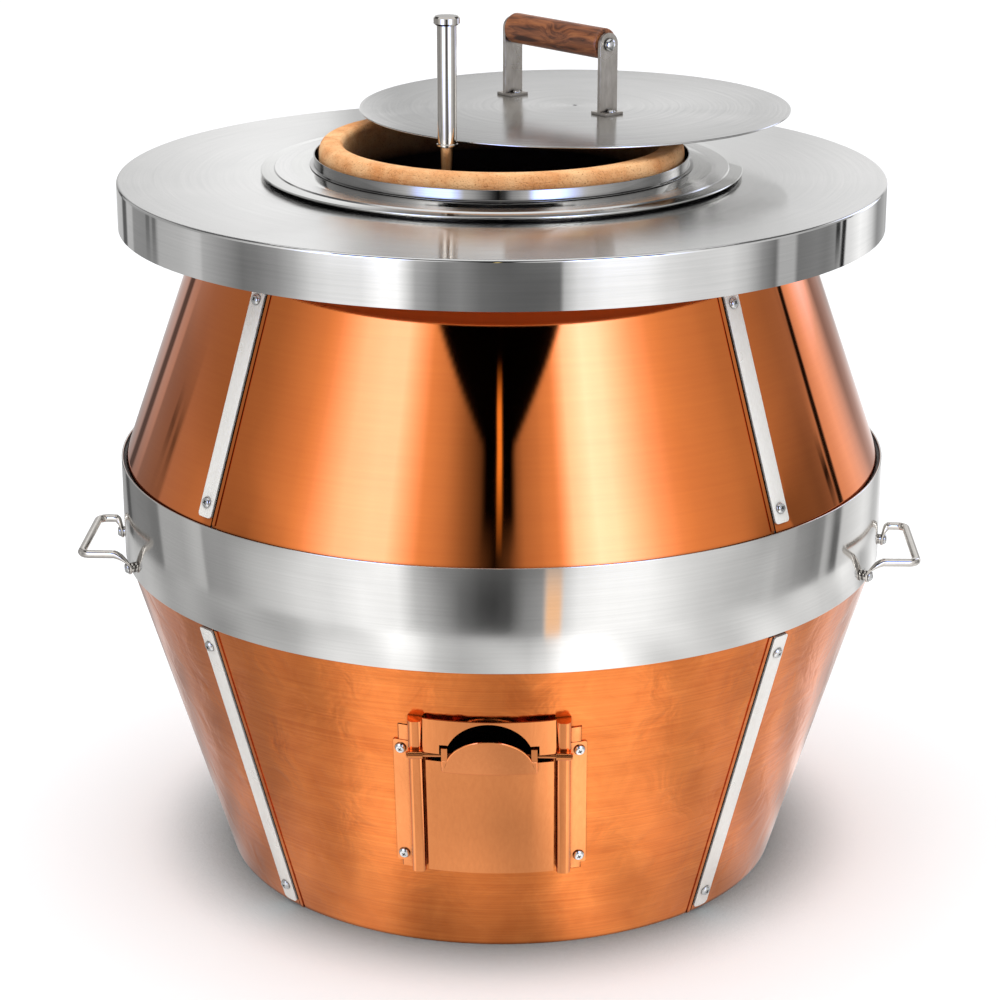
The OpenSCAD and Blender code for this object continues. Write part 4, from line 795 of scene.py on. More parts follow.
@dataclass
class Shell(Assembly):
    """The copper panels, their cover strips, the belt, the screws and the frame behind them."""

    belt_low_z: float = 347.0
    belt_high_z: float = 455.5
    belt_in_r: float = 411.6
    belt_out_r: float = 413.59
    belt_edge_r: float = 0.9
    strip_t: float = 3.0
    strip_azimuths: tuple[float, ...] = (-45.0, 45.0, 135.0, -135.0)
    lower_screw_z: tuple[float, ...] = (26.0, 324.0)
    upper_screw_z: tuple[float, ...] = (475.5, 672.0)
    head_r: float = 5.8
    head_h: float = 3.4

    def build(self) -> None:
        """Builds strips, belt and screws, and dresses panels and frame."""
        sides = ("front", "right", "rear", "left")
        corners = ("front_right", "rear_right", "rear_left", "front_left")
        self.dress(FINISH.upper_copper, *[f"upper_panel_{s}" for s in sides])
        self.dress(FINISH.lower_copper, *[f"lower_panel_{s}" for s in sides])
        for level in ("lower", "upper"):
            for corner in corners:
                name = f"{level}_strip_{corner}"
                strip = softened(f"{name}_bar", self.nodes[name], 0.7, 3)
                settle(strip, FINISH.bar_steel, Slot.STEEL, name)
        self.belt()
        self.screws()
        self.dress(FINISH.frame_steel, "base_pan", "lower_posts", "upper_posts", "mid_hoop", "top_hoop")
        self.dress(FINISH.wool, "lower_insulation", "upper_insulation")

    def belt(self) -> None:
        """The belt: a rolled band with eased edges."""
        edge, inner, outer = self.belt_edge_r, self.belt_in_r, self.belt_out_r
        low, high = self.belt_low_z, self.belt_high_z
        middle = (low + high) / 2
        outline = rounded(
            [(inner, middle, 0), (inner, low, edge), (outer, low, edge), (outer, high, edge),
            (inner, high, edge), (inner, middle, 0)], 4
        )
        band = turned("steel_belt", outline, 240)
        settle(band, FINISH.belt_steel, Slot.POLISHED, "belt")

    def screws(self) -> None:
        """Every screw of the strips, the door's straps and the handles, from one pan head."""
        places = []
        for azimuth in self.strip_azimuths:
            for cone, heights in ((LOWER, self.lower_screw_z), (UPPER, self.upper_screw_z)):
                for height in heights:
                    places.append(facing(*cone.place(azimuth, height, self.strip_t - 0.05), turn=height))
        places += FireDoor.screw_places() + SideHandle.screw_places()
        master = pan_head("shell_screw", self.head_r, self.head_h)
        heads = joined("shell_screw_heads", copied(master, places))
        settle(heads, FINISH.screw_steel, Slot.POLISHED, "shell_screws")


@dataclass
class SideHandle(Assembly):
    """A bent rod handle whose flattened ends are screwed to the belt."""

    side: int = 1
    bar_x: float = 441.5
    bar_z: float = 372.0
    rod_r: float = 4.3
    bend_r: float = 9.0
    bend_steps: int = 8
    arm_y: Point = (-151.0, -33.0)
    root_r: Point = (433.0, 424.0)
    ear_r: float = 418.1
    head_r: float = 419.6
    spacer_r: float = 413.7
    ear_half_w: float = 7.0
    ear_half_t: float = 1.5
    ear_z: float = 357.0
    # Shares of the way up the ear, and along the rod from the ear to its root
    ear_shares: tuple[float, ...] = (0.0, 0.075, 0.25, 0.5625, 1.0)
    rod_shares: tuple[float, ...] = (0.0, 0.15, 0.35, 0.6, 0.85, 1.0)
    rise: float = 2.1
    points_round: int = 20

    @staticmethod
    def outward(y: float, radius: float, side: int = 1) -> Vector:
        """The outward direction where a circle of this radius passes y."""
        turn = math.asin(y / radius)
        return Vector((side * math.cos(turn), math.sin(turn), 0.0))

    @staticmethod
    def screw_places() -> list[Matrix]:
        """Where the four screws of the two handles sit."""
        own = SideHandle
        outs = [own.outward(y, own.head_r, side) for side in (1, -1) for y in own.arm_y]
        return [facing(out * own.head_r + UP * own.ear_z, out, turn=20.0) for out in outs]

    def arm(self, y: float, root_r: float, toward: int) -> list[Station]:
        """One arm, from its ear over the rod's root to the bar.

        Args:
            y: Where the arm stands.
            root_r: Distance of the rod's root from the body's axis.
            toward: 1 where the bar runs towards +Y from here, else -1.

        Returns:
            Its stations.
        """
        out = self.outward(y, self.ear_r)
        along_belt = UP.cross(out)
        foot = out * self.ear_r + UP * self.ear_z
        root = Vector((math.sqrt(root_r**2 - y**2), y, self.bar_z))
        wide, thin, rod = self.ear_half_w, self.ear_half_t, self.rod_r
        made = []
        for share in self.ear_shares:
            # The ear's foot is rounded
            narrow = math.sqrt(max(1 - (1 - share) ** 2, 0.02))
            made.append((foot + UP * (wide * (share - 1.0)), along_belt, wide * narrow, thin))
        for share in self.rod_shares:
            t = ease(0.0, 1.0, share)
            at = (foot + UP * 3.0).lerp(root, share)
            # The rod leaves the ear steeply and turns level at its root
            at.z += self.rise * math.sin(math.pi * share)
            across = along_belt.lerp(LEVEL_Y, t).normalized()
            made.append((at, across, wide + (rod - wide) * t, thin + (rod - thin) * t))
        made.append((root + Vector((3.5, 0.0, 0.0)), LEVEL_Y, rod, rod))
        centre = Vector((self.bar_x - self.bend_r, y + toward * self.bend_r, self.bar_z))
        for k in range(self.bend_steps + 1):
            turn = math.radians(90 * k / self.bend_steps)
            out = Vector((math.sin(turn), -toward * math.cos(turn), 0.0))
            made.append((centre + out * self.bend_r, out, rod, rod))
        return made

    def build(self) -> None:
        """Builds the handle ring by ring and flattens its ears."""
        first, second = [self.arm(*ends) for ends in zip(self.arm_y, self.root_r, (1, -1))]
        course = first + second[::-1]
        rings = []
        for i, (place, wide_way, wide, thick) in enumerate(course):
            ahead = course[min(i + 1, len(course) - 1)][0] - course[max(i - 1, 0)][0]
            ahead.normalize()
            across = (wide_way - ahead * wide_way.dot(ahead)).normalized()
            if i and across.dot(last) < 0:
                across = -across
            last = across
            depth = ahead.cross(across)
            ring = []
            for k in range(self.points_round):
                turn = math.tau * k / self.points_round
                c, d = math.cos(turn), math.sin(turn)
                # A flattened end is nearly square across
                power = 1.0 if thick > 4.0 else 0.5 + 0.125 * thick
                x = math.copysign(abs(c) ** power, c) * wide
                y = math.copysign(abs(d) ** power, d) * thick
                point = place + across * x + depth * y
                ring.append(Vector((self.side * point.x, point.y, point.z)) * MM)
            rings.append(ring)
        name = "right" if self.side > 0 else "left"
        handle = drawn(f"{name}_rod_handle", rings)
        handle = joined(f"{name}_rod_handle", [handle, *self.bosses()])
        settle(handle, FINISH.rod_steel, Slot.POLISHED, f"{name}_handle")

    def bosses(self) -> list[Piece]:
        """The two spacers that hold the ears off the belt."""
        outs = [self.outward(y, self.ear_r, self.side) for y in self.arm_y]
        places = [facing(out * self.spacer_r + UP * self.ear_z, out) for out in outs]
        outline = rounded([(0, 0, 0), (5.5, 0, 0.3), (5.5, 3.2, 0.3), (0, 3.2, 0)], 2)
        spacer = turned("ear_spacer", outline, 28)
        return copied(spacer, places)


@dataclass
class Mouth(Assembly):
    """The top plate, the ring plate, the collar with its rope, and the clay pot."""

    ring_in_r: float = 199.3
    ring_out_r: float = 255.0
    ring_top_z: float = 765.0
    ring_edge_z: float = 761.4
    ring_foot_z: float = 758.2
    ring_t: float = 1.5
    collar_in_r: float = 197.7
    collar_out_r: float = 199.2
    collar_low_z: float = 756.0
    collar_high_z: float = 776.5
    collar_foot_r: float = 203.2

    def build(self) -> None:
        """Builds ring and collar, and dresses the plate, the rope, the pot and its slab."""
        self.dress(FINISH.plate_steel, "top_plate")
        self.ring()
        self.collar()
        self.dress(FINISH.rope, "rope_packing")
        self.dress(FINISH.clay, "clay_pot")
        self.dress(FINISH.slab, "hearth_slab")

    def ring(self) -> None:
        """The ring plate: it falls a little to its thin edge and stands on a set-back foot over a gap."""
        top, edge, foot, t = self.ring_top_z, self.ring_edge_z, self.ring_foot_z, self.ring_t
        outline = rounded(
            [(self.ring_in_r, top - t, 0), (self.ring_in_r, top, 0.3), (self.ring_out_r, edge, 0.8),
            (self.ring_out_r, edge - 1.8, 0.7), (self.ring_out_r - 3.5, edge - 1.8, 0.3),
            (self.ring_out_r - 3.5, foot, 0.2), (self.ring_out_r - 3.5 - t, foot, 0.2),
            (self.ring_out_r - 3.5 - t, edge - t - 0.3, 0.3), (self.ring_in_r, top - t, 0)], 5
        )
        settle(turned("ring_plate", outline, 240), FINISH.ring_steel, Slot.POLISHED, "mouth_ring")

    def collar(self) -> None:
        """The collar: a rolled sheet ring with eased edges and a turned-out foot."""
        inner, outer, foot = self.collar_in_r, self.collar_out_r, self.collar_foot_r
        low, high, top = self.collar_low_z, self.collar_high_z, self.ring_top_z
        outline = rounded(
            [(inner, low, 0), (outer - 0.1, low, 0.2), (outer - 0.1, top, 0.1), (foot, top, 0.3),
            (foot, top + 0.7, 0.3), (outer, top + 1.0, 0.8), (outer, high, 0.6), (inner, high, 0.6),
            (inner, low, 0)], 4
        )
        settle(turned("mouth_collar", outline, 240), FINISH.collar_steel, Slot.POLISHED, "collar")


@dataclass
class FireDoor(Assembly):
    """The rails with their straps, the curved top plate, the hinged flap and its duct."""

    wall_r: float = 383.2
    screw_u: float = 88.25
    screw_v: Point = (120.0, 260.0)
    screw_out: float = 1.95
    strap_in_u: float = 80.5
    ear_out_u: float = 90.5
    ear_t: float = 1.3
    upper_ear_v: tuple[float, float] = (269.5, 289.0)
    lower_ear_v: tuple[float, float] = (102.5, 110.5)
    fascia_low_v: float = 266.3
    fascia_top_v: float = 304.3
    fascia_lean_in: float = 6.5
    edge_w: float = 0.85

    @staticmethod
    def sag(across: float) -> float:
        """How far the shell falls back at a distance from the door's middle."""
        return FireDoor.wall_r - math.sqrt(FireDoor.wall_r**2 - across**2)

    @staticmethod
    def axes() -> tuple[Vector, Vector, Vector, Vector]:
        """The door frame: its origin on the floor line, out of the shell, across and up the shell."""
        lean = LOWER.lean
        return (
            Vector((0, -LOWER.low_r, 0)), Vector((0, -math.cos(lean), -math.sin(lean))), Vector((1, 0, 0)),
            Vector((0.0, -math.sin(lean), math.cos(lean)))
        )

    @staticmethod
    def point(out: float, across: float, up: float) -> Vector:
        """A point of the door frame, in millimetres of the part's frame."""
        origin, n, u, v = FireDoor.axes()
        return origin + n * out + u * across + v * up

    @staticmethod
    def screw_places() -> list[Matrix]:
        """Where the four screws of the straps sit."""
        own = FireDoor
        _, n, u, _ = own.axes()
        places = []
        for side in (-1, 1):
            turn = side * math.asin(own.screw_u / own.wall_r)
            out = n * math.cos(turn) + u * math.sin(turn)
            for up in own.screw_v:
                seat = own.point(-own.sag(own.screw_u), side * own.screw_u, up) + out * own.screw_out
                places.append(facing(seat, out, turn=30.0 * side))
        return places

    def build(self) -> None:
        """Builds the door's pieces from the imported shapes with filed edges, and its small ears."""
        for side, name in ((1, "right"), (-1, "left")):
            rail = softened(f"{name}_rail_and_strap", self.nodes[f"{name}_door_rail"], self.edge_w)
            rail = joined(f"{name}_rail_and_strap", [rail, *self.ears(side)])
            settle(rail, FINISH.door_copper, Slot.COPPER, f"{name}_door_rail")
        self.fascia()
        rod = softened("hinge_wire", self.nodes["hinge_rod"], 0.3)
        settle(rod, FINISH.door_copper, Slot.COPPER, "hinge_rod")
        for source, name in (("door_plate", "flap_plate"), ("thumb_tab", "flap_thumb_tab")):
            piece = softened(name, self.nodes[source], self.edge_w)
            settle(piece, FINISH.door_copper, Slot.COPPER, source, body=Body.FLAP)
        self.dress(FINISH.frame_steel, "fire_duct")

    def ears(self, side: int) -> list[Piece]:
        """The strap's two small ears, above and below it."""
        made = []
        for low, high in (self.upper_ear_v, self.lower_ear_v):
            begin()
            bpy.ops.mesh.primitive_cube_add(size=1.0)
            ear = bpy.context.object
            ear.name = "strap_ear"
            edit()
            form = bmesh.from_edit_mesh(ear.data)
            for vertex in form.verts:
                across = self.strap_in_u if vertex.co.x < 0 else self.ear_out_u
                out = (self.ear_t if vertex.co.y > 0 else -2.0) - self.sag(across)
                up = low if vertex.co.z < 0 else high
                vertex.co = self.point(out, side * across, up) * MM
            bmesh.update_edit_mesh(ear.data)
            bpy.ops.mesh.bevel(offset=0.5 * MM, segments=2, affect="EDGES")
            made.append(finish_mesh(ear, 40.0))
        return made

    def fascia(self) -> None:
        """The curved plate over the flap, leaning in until its upper edge almost meets the shell."""
        plate = softened("curved_top_plate", self.nodes["door_fascia"], 0.4)
        origin, n, _, v = self.axes()
        for vertex in plate.data.vertices:
            up = (vertex.co / MM - origin).dot(v)
            share = (up - self.fascia_low_v) / (self.fascia_top_v - self.fascia_low_v)
            vertex.co -= n * (self.fascia_lean_in * max(share, 0.0) * MM)
        plate.data.update()
        settle(plate, FINISH.door_copper, Slot.COPPER, "door_fascia")


@dataclass
class Burner(Assembly):
    """The burner, its gas line and tap, and the guard with its lifting rod."""

    def build(self) -> None:
        """Dresses the burner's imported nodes."""
        self.dress(FINISH.iron, "burner_bowl", "burner_cap", "mixing_tube", "guard_plate")
        self.dress(FINISH.brass, "injector", "gas_pipe", "tap_body", "inlet_nipple")
        self.dress(FINISH.ring_steel, "pipe_gland")
        self.dress(FINISH.red_lever, "tap_lever")
        self.dress(FINISH.chrome, "guard_rod", "rod_cap", "hand_sleeve")


@dataclass
class Lid(Assembly):
    """The loose lid with its pan, brackets and wooden roller."""

    centre: Point = (76.6, 112.1)
    radius: float = 235.8
    low_z: float = 803.5
    high_z: float = 805.5
    dimple_r: float = 1.6
    dimple_h: float = 0.5
    handle_centre: Point = (59.2, 119.4)
    handle_turn: float = -48.3
    bracket_span: float = 157.7
    screw_half: float = 6.875
    screw_z: float = 808.5
    head_r: float = 4.4
    head_h: float = 2.6

    def build(self) -> None:
        """Builds plate, brackets and screws, and dresses the pan, the bolt and the roller."""
        self.plate()
        self.dress(FINISH.lid_steel, "lid_pan")
        for name in ("left_bracket", "right_bracket"):
            bracket = softened(f"{name}_flat", self.nodes[name], 0.6, 3)
            settle(bracket, FINISH.bracket_steel, Slot.POLISHED, name, body=Body.LID)
        self.screws()
        self.dress(FINISH.screw_steel, "roller_bolt")
        low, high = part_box("wooden_roller")
        middle = (low + high) / 2
        walnut = OiledWalnut(
            "oiled_walnut", knot=(middle.x - 0.002, middle.y - 0.016, middle.z + 0.004),
            turn=math.radians(self.handle_turn)
        )
        self.dress(walnut, "wooden_roller")

    def plate(self) -> None:
        """The round plate with its rolled edge and the spinning tool's centre mark."""
        radius, low, high = self.radius, self.low_z, self.high_z
        outline = rounded(
            [(0.0, low, 0), (radius, low, 0.8), (radius, high, 0.9), (self.dimple_r * 2, high, 0.6),
            (self.dimple_r, high - self.dimple_h, 0.3), (0.0, high - self.dimple_h, 0)], 5
        )
        plate = turned("spun_lid_plate", outline, 240, self.centre)
        settle(plate, FINISH.lid_steel, Slot.STEEL, "lid_plate", body=Body.LID)

    def screws(self) -> None:
        """The four foot screws of the brackets."""
        turn = math.radians(self.handle_turn)
        way = Vector((math.cos(turn), math.sin(turn), 0.0))
        middle = Vector((*self.handle_centre, self.screw_z))
        places = []
        for end in (-1, 1):
            for side in (-1, 1):
                at = middle + way * (end * self.bracket_span / 2 + side * self.screw_half)
                places.append(facing(at, UP, turn=25.0 * side))
        master = pan_head("lid_screw", self.head_r, self.head_h)
        heads = joined("lid_screw_heads", copied(master, places))
        settle(heads, FINISH.screw_steel, Slot.POLISHED, "lid_screws", body=Body.LID)


# Studio


def along(rows: Sequence[Sequence[float]], bearing: float) -> list[float]:
    """The values of a table at a bearing, straight between its rows.

    Args:
        rows: Each a bearing and its values, by rising bearing.
        bearing: From the camera, to the right, between -180 and 180.

    Returns:
        The values.
    """
    after = next(i for i, row in enumerate(rows) if row[0] >= bearing)
    first, last = rows[max(after - 1, 0)], rows[after]
    share = (bearing - first[0]) / (last[0] - first[0] or 1)
    return [a + (b - a) * share for a, b in zip(first[1:], last[1:])]


@dataclass
class Studio:
    """A white sweep with soft lamps, and a surround of cards and flags that only polished metal sees."""

    surround_r: float = 1250.0
    surround_h: float = 2300.0
    card_in_r: float = 306.0
    columns: int = 1080
    # The floor card's bearings and strengths
    floor_glows: tuple[Point, ...] = (
        (-180, 0.85), (-150, 0.80), (-136, 0.42), (-128, 0.62), (-122, 0.66), (-108, 0.52), (-84, 0.47),
        (-60, 0.52), (-50, 0.62), (-40, 0.85), (-30, 1.22), (-24, 1.45), (-19, 1.25), (-14, 0.85), (-8, 0.72),
        (0, 0.72), (8, 0.74), (12, 1.00), (16, 1.55), (21, 1.65), (27, 1.50), (34, 1.28), (42, 1.05),
        (52, 0.88), (61, 0.84), (75, 0.90), (84, 0.92), (96, 0.80), (108, 1.10), (116, 0.90), (122, 0.55),
        (130, 0.80), (136, 0.95), (150, 0.90), (180, 0.85)
    )
    # Narrow flags: bearing at the foot and the head, height of foot and head, half width in degrees
    flags: tuple[tuple[float, float, float, float, float], ...] = (
        (-108.2, -108.2, 470.0, 514.0, 1.2), (-104.2, -104.2, 470.0, 514.0, 1.0),
        (101.2, 101.2, 480.0, 520.0, 1.1), (103.6, 107.2, 440.0, 770.0, 1.2)
    )
    # Heights of the low, middle and high bands
    low_z: float = 160.0
    middle_z: float = 500.0
    high_z: float = 700.0
    # The surround: bearing, and how bright it is low, midway and high
    glows: tuple[tuple[float, ...], ...] = (
        (-180, 0.7, 0.6, 0.76), (-174, 0.8, 0.7, 0.64), (-170, 0.8, 0.8, 0.55), (-168, 0.8, 0.8, 0.66),
        (-166, 0.8, 0.8, 1), (-164, 0.78, 0.8, 1.06), (-161, 0.75, 0.8, 1.04), (-157, 0.65, 0.78, 0.9),
        (-150, 0.45, 0.72, 0.7), (-142, 0.42, 0.56, 0.55), (-134, 0.38, 0.56, 0.3), (-131.5, 0.1, 0.12, 0.08),
        (-128, 0.1, 0.12, 0.08), (-126, 0.24, 0.56, 0.5), (-121, 0.26, 0.56, 0.52), (-119.5, 0.26, 0.33, 0.5),
        (-110, 0.24, 0.32, 0.43), (-108.5, 0.22, 0.32, 0.42), (-103, 0.2, 0.34, 0.42),
        (-101.5, 0.48, 0.52, 0.42), (-90, 0.48, 0.58, 0.42), (-84, 0.6, 0.68, 0.41), (-81.5, 0.6, 0.66, 0.4),
        (-80.5, 0.36, 0.52, 0.4), (-72, 0.42, 0.34, 0.5), (-66, 0.56, 0.2, 0.62), (-61, 0.68, 0.23, 0.76),
        (-55, 0.8, 0.34, 0.95), (-50, 0.95, 0.54, 1.25), (-45, 1.03, 0.87, 1.8), (-40, 1.05, 1.02, 2.3),
        (-32, 1.3, 1.05, 2.6), (-27, 1.26, 1.4, 2.6), (-23, 1.2, 1.38, 1.9), (-18.5, 0.68, 0.5, 1.1),
        (-13, 0.4, 0.24, 0.8), (-8, 0.17, 0.3, 0.4), (-3, 0.07, 0.19, 0.1), (0, 0.05, 0.17, 0.01),
        (3.5, 0.08, 0.15, 0.12), (7.5, 0.3, 0.14, 0.6), (11.5, 0.4, 0.14, 0.8), (12.5, 1.2, 0.14, 0.9),
        (15.5, 1.2, 0.16, 1.1), (16.5, 0.9, 0.6, 1.3), (20, 1.2, 0.95, 2.5), (26, 1.35, 1.2, 3.2),
        (31, 1.35, 1.25, 3), (37, 1.3, 1.2, 2.3), (42, 1.15, 0.97, 1.7), (48, 0.95, 0.86, 1.2),
        (53, 0.82, 0.85, 1),
        (60, 0.7, 0.9, 0.84), (65, 0.64, 0.7, 0.76), (70, 0.62, 0.35, 0.64), (74.5, 0.64, 0.18, 0.6),
        (76, 0.56, 0.53, 0.6), (81.5, 0.46, 0.53, 0.6), (83, 0.4, 0.22, 0.58), (91, 0.27, 0.26, 0.48),
        (94.5, 0.3, 0.24, 0.44), (95.5, 0.56, 0.24, 0.43), (97, 0.56, 0.26, 0.43), (98, 0.5, 0.28, 0.43),
        (100.5, 0.15, 0.34, 0.43), (103, 0.15, 0.6, 0.45), (104.5, 0.72, 0.92, 0.4), (109, 0.82, 1, 0.9),
        (115, 0.95, 1.25, 1.4), (120, 1.02, 1.1, 1.8), (125, 0.9, 0.78, 1.6), (129, 0.7, 0.45, 0.9),
        (131, 0.62, 0.33, 0.33), (133, 0.62, 0.34, 0.38), (137, 0.66, 0.4, 0.75), (143, 0.9, 0.5, 0.95),
        (150, 1, 0.42, 0.9), (157, 0.9, 0.8, 0.9), (162, 0.8, 0.8, 0.75), (168, 0.8, 0.85, 0.84),
        (173, 0.8, 0.7, 0.84), (177, 0.7, 0.6, 0.78), (180, 0.7, 0.6, 0.76)
    )
    # One low card is as warm as lamplight: bearing and share of that colour
    warm_tint: str = "#FFC898"
    warm_card: tuple[Point, ...] = ((-180, 0), (11.5, 0), (12.5, 1), (15.5, 1), (16.5, 0), (180, 0))
    # The dark gap between the two lamp banks: half width in degrees at a height, and gain per millimetre
    gap_z: Point = (760.0, 820.0)
    gap_bearing: float = 1.0
    gap_least: float = 4.0
    gap_half: float = 6.0
    gap_at_z: float = 935.0
    gap_widening: float = 0.0925
    # One warm line stands in the middle of the gap
    line_bearing: float = 1.2
    line_half: Point = (0.95, 0.35)
    line_foot_z: Point = (760.0, 900.0)
    line_head_z: Point = (1040.0, 950.0)
    line_glow: Triple = (1.3, 1.0, 0.4)
    # The dark above the lamps
    dark_z: Point = (1350.0, 1550.0)
    dark: float = 0.10
    # Above this strength the lamps turn cool, green by this share of blue
    cool_from: float = 1.1
    cool_green: float = 0.18

    def build(self) -> None:
        """Builds floor, surround, lamps and world."""
        self.floor()
        self.surround()
        self.lamps()
        self.world()

    @staticmethod
    def shared_rays(add: Adder) -> Socket:
        """The share of camera, glossy and transmission rays, from Light Path."""
        rays = add("LightPath").node.outputs
        first = add("Math", (rays["Is Camera Ray"], rays["Is Glossy Ray"]), operation="MAXIMUM")
        return add("Math", (first, rays["Is Transmission Ray"]), operation="MAXIMUM")

    def sweep(self, add: Adder) -> Socket:
        """The sweep's paint: seen rays get a share of plain white, so that only the soft shadow is grey."""
        paint = add("BsdfDiffuse", {"Color": linear("#F2F2F2")})
        # Painted contact shadow: where the foot stands close on the sweep, ambient occlusion darkens the
        # sweep's colour to a dark line as wide as a hand is thick
        closed = add("AmbientOcclusion", {"Distance": 0.13}, samples=6, out="AO")
        clear = add("MapRange", (closed, 0.3, 0.8))
        stops = [(0.0, linear("#1E2224")), (0.5, linear("#B4C0C4")), (1.0, linear("#F3F4F6"))]
        painted_shadow_paint = add("BsdfDiffuse", {"Color": add("ValToRGB", (clear,), stops)})
        white = add("Emission", {"Color": (1, 1, 1, 1), "Strength": 0.10})
        return add("MixShader", (self.shared_rays(add), paint, add("AddShader", (painted_shadow_paint, white))))

    def floor(self) -> None:
        """The white sweep, which takes the object's shadow and isn't seen in its reflections."""
        begin()
        bpy.ops.mesh.primitive_plane_add(size=40.0, location=(0, 0, 0))
        sweep = bpy.context.object
        sweep.name = "studio_floor"
        sweep.data.materials.append(
            shaded(bpy.data.materials.new("white_studio_sweep"), "OutputMaterial", self.sweep)
        )
        sweep.visible_glossy = False

    def glow_at(self, bearing: float, height: float) -> Triple:
        """How bright the surround is at a bearing in degrees and a height in millimetres.

        Args:
            bearing: From the camera, to the right, between -180 and 180.
            height: Above the floor.

        Returns:
            Linear red, green and blue.
        """
        low, middle, high = along(self.glows, bearing)
        up, top = ease(self.low_z, self.middle_z, height), ease(self.middle_z + 40, self.high_z, height)
        value = (low + (middle - low) * up) * (1 - top) + high * top
        # Narrow flags stand between the lamps; high up, the gap between the two lamp banks widens
        for low_at, high_at, foot, head, half in self.flags:
            at = low_at + (high_at - low_at) * min(max((height - foot) / (head - foot), 0.0), 1.0)
            inside = ease(foot - 12.0, foot, height) * ease(head + 12.0, head, height)
            value *= 1 - 0.98 * inside * ease(half + 0.5, half - 0.4, abs(bearing - at))
        gap = max(self.gap_least, self.gap_half + self.gap_widening * (height - self.gap_at_z))
        value *= 1 - ease(*self.gap_z, height) * ease(gap + 1.0, gap - 1.0, abs(bearing - self.gap_bearing))
        line = ease(*self.line_half, abs(bearing - self.line_bearing))
        line *= ease(*self.line_foot_z, height) * ease(*self.line_head_z, height)
        if line > 0:
            red, green, blue = self.line_glow
            return (red * line, green * line, blue * line)
        value += (self.dark - value) * ease(*self.dark_z, height)
        warm = along(self.warm_card, bearing)[0] * (1 - up)
        red, green, blue = [value * (1 + (c - 1) * warm) for c in linear(self.warm_tint)[:3]]
        # The strongest lamps are cool, so that copper shows them cream and not yellow
        cool = max(value - self.cool_from, 0.0) * top
        return (red, green * (1 + self.cool_green * cool), blue * (1 + cool))

    def floor_glow(self, bearing: float, radius: float) -> Triple:
        """How bright the floor card is: evener and dimmer towards the object's foot.

        Args:
            bearing: From the camera, to the right, between -180 and 180.
            radius: From the middle.

        Returns:
            Linear red, green and blue.
        """
        value = along(self.floor_glows, bearing)[0]
        near = min(max((radius - self.card_in_r) / 240.0, 0.0), 1.0)
        value = value * (0.6 + 0.4 * near) + 0.85 * 0.4 * (1 - near)
        value *= 0.66 + 0.34 * min(near * 2.6, 1.0)
        # Scuffed patches on the card give the brushed copper its soft swirls
        turn = math.radians(bearing)
        value *= 1 + 0.22 * math.sin(11 * turn + radius / 45.0) * math.sin(radius / 62.0 - 5 * turn + 1.0)
        return (value, value, value)

    @staticmethod
    def card_light(add: Adder) -> Socket:
        """The cards' light, plain where a second piece passes it on: steel near copper stays neutral."""
        tone = add("Attribute", attribute_name="glow")
        later = add("Math", (add("LightPath", out="Ray Depth"), 1.5), operation="GREATER_THAN")
        tone = add("Mix", {"Factor": later, 6: tone, 7: add("RGBToBW", (tone,))}, data_type="RGBA", out=2)
        return add("Emission", {"Color": tone, "Strength": 1.0})

    def surround(self) -> None:
        """A drum of cards and flags and its floor card, seen only by the object's own reflections."""
        begin()
        rows = [2.0, 40.0, 80.0, 120.0, 170.0, 240.0, 320.0, 400.0, 460.0, 520.0, 580.0, 640.0, 700.0, 760.0]
        rows += [820.0, *[880.0 + 12.0 * i for i in range(30)], 1260.0, 1350.0, 1450.0, 1550.0, 1700.0]
        rows.append(self.surround_h)
        rings = [self.card_in_r, 320, 340, 370, 410, 460, 520, 600, 700, 850, 1000, self.surround_r]
        levels = [(r, 0.0) for r in rings] + [(self.surround_r, z) for z in rows]
        points: list[Triple] = []
        glow: list[float] = []
        for radius, height in levels:
            for k in range(self.columns + 1):
                bearing = -180 + 360 * k / self.columns
                turn = math.radians(bearing)
                out = radius * MM
                points.append((out * math.sin(turn), -out * math.cos(turn), height * MM - 0.0005))
                tone = self.glow_at(bearing, height) if height else self.floor_glow(bearing, radius)
                glow.extend((*tone, 1.0))
        span = self.columns + 1
        starts = [row * span + k for row in range(len(levels) - 1) for k in range(self.columns)]
        mesh = bpy.data.meshes.new("studio_surround")
        mesh.from_pydata(points, [], [(k, k + 1, k + span + 1, k + span) for k in starts])
        mesh.color_attributes.new("glow", "FLOAT_COLOR", "POINT").data.foreach_set("color", glow)
        mesh.materials.append(
            shaded(bpy.data.materials.new("studio_cards_and_flags"), "OutputMaterial", self.card_light)
        )
        drum = placed("studio_surround", mesh)
        for rays in ("camera", "diffuse", "transmission", "volume_scatter", "shadow"):
            setattr(drum, f"visible_{rays}", False)

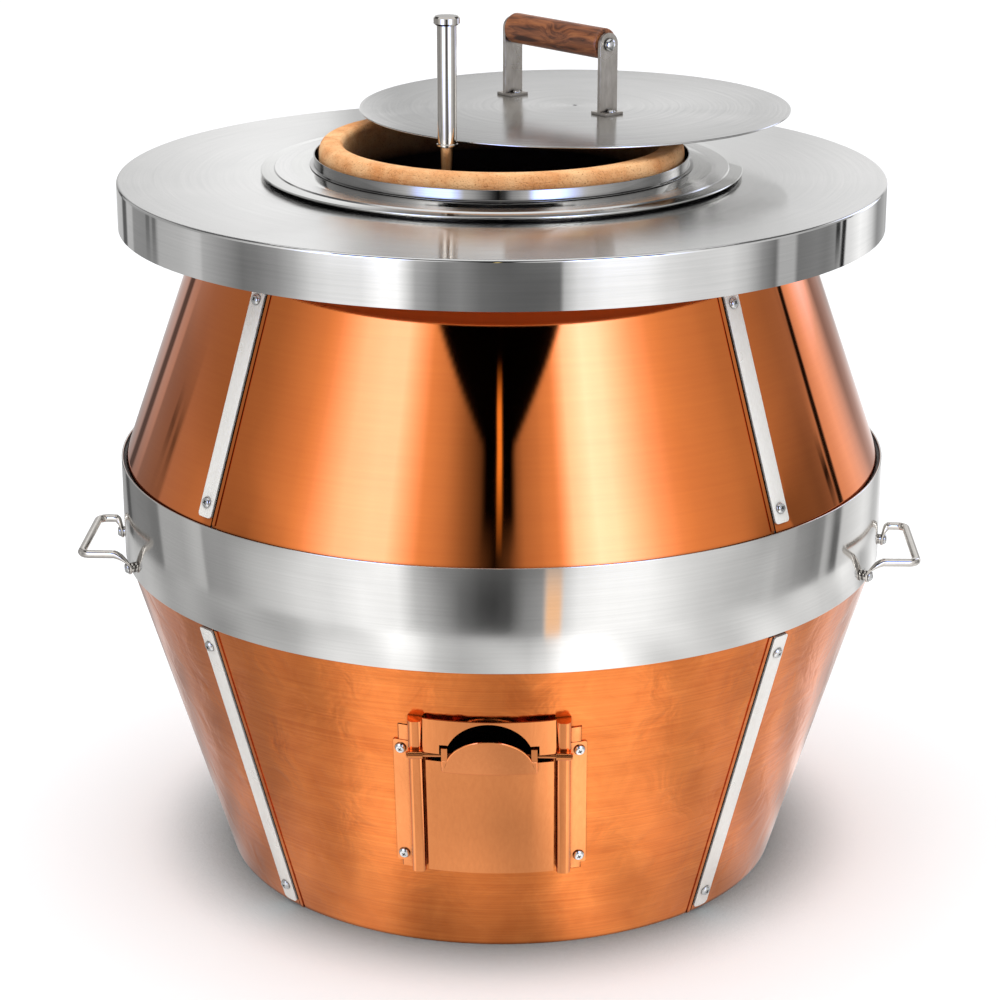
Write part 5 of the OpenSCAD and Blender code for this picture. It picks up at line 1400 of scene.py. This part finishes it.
    def lamps(self) -> None:
        """Three soft boxes: a key from the upper left front, a fill from the right and one overhead."""
        for name, place, size, power in (
            ("key_softbox", (-1.7, -2.2, 2.6), 1.6, 12.0), ("fill_softbox", (2.2, -1.6, 1.9), 1.6, 4.0),
            ("overhead_softbox", (0.0, 0.6, 3.2), 2.2, 10.0)
        ):
            lamp = bpy.data.lights.new(name, "AREA")
            lamp.size, lamp.energy = size, power
            holder = placed(name, lamp)
            holder.location = place
            holder.rotation_euler = (Vector((0, 0, 0.4)) - Vector(place)).to_track_quat("-Z", "Y").to_euler()
            holder.visible_glossy = False

    def room(self, add: Adder) -> Socket:
        """The room's light: mostly from overhead, so that the object's foot stands in its own soft shadow."""
        height = add("SeparateXYZ", (add("TexCoord", out="Generated"),), out="Z")
        soft = add("MapRange", (height, 0.0, 1.0, 0.34, 1.50))
        level = add("Mix", {"Factor": self.shared_rays(add), 2: soft, 3: 1.0})
        return add("Background", {"Color": (1, 1, 1, 1), "Strength": level})

    def world(self) -> None:
        """A white room to what is seen, and a soft grey one to the light."""
        bpy.context.scene.world = shaded(bpy.data.worlds.new("studio_room"), "OutputWorld", self.room)


@dataclass
class Viewpoint:
    """The photograph's camera: its place, its turn and its lens, in millimetres and degrees."""

    place: Triple = (87.8, -2849.4, 1340.2)
    tilt: float = 71.502
    pan: float = 1.8
    lens: float = 97.88
    sensor: float = 36.0

    def build(self) -> None:
        """Makes the camera and the plain view settings."""
        optics = bpy.data.cameras.new("photo_camera")
        optics.lens, optics.sensor_width = self.lens, self.sensor
        camera = placed("photo_camera", optics)
        camera.location = Vector(self.place) * MM
        camera.rotation_euler = (math.radians(self.tilt), 0.0, math.radians(self.pan))
        bpy.context.scene.camera = camera
        bpy.context.scene.view_settings.view_transform = "Standard"


def main() -> None:
    """Loads the frame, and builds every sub-assembly and the studio."""
    logging.basicConfig(level=logging.INFO, format="%(message)s")
    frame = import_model()
    nodes = frame["nodes"]
    for assembly in (
        Shell(nodes), SideHandle(nodes, side=1), SideHandle(nodes, side=-1), Mouth(nodes), FireDoor(nodes),
        Burner(nodes), Lid(nodes)
    ):
        assembly.build()
        LOG.info("%s is built", type(assembly).__name__)
    Studio().build()
    Viewpoint().build()


if __name__ == "__main__":
    main()
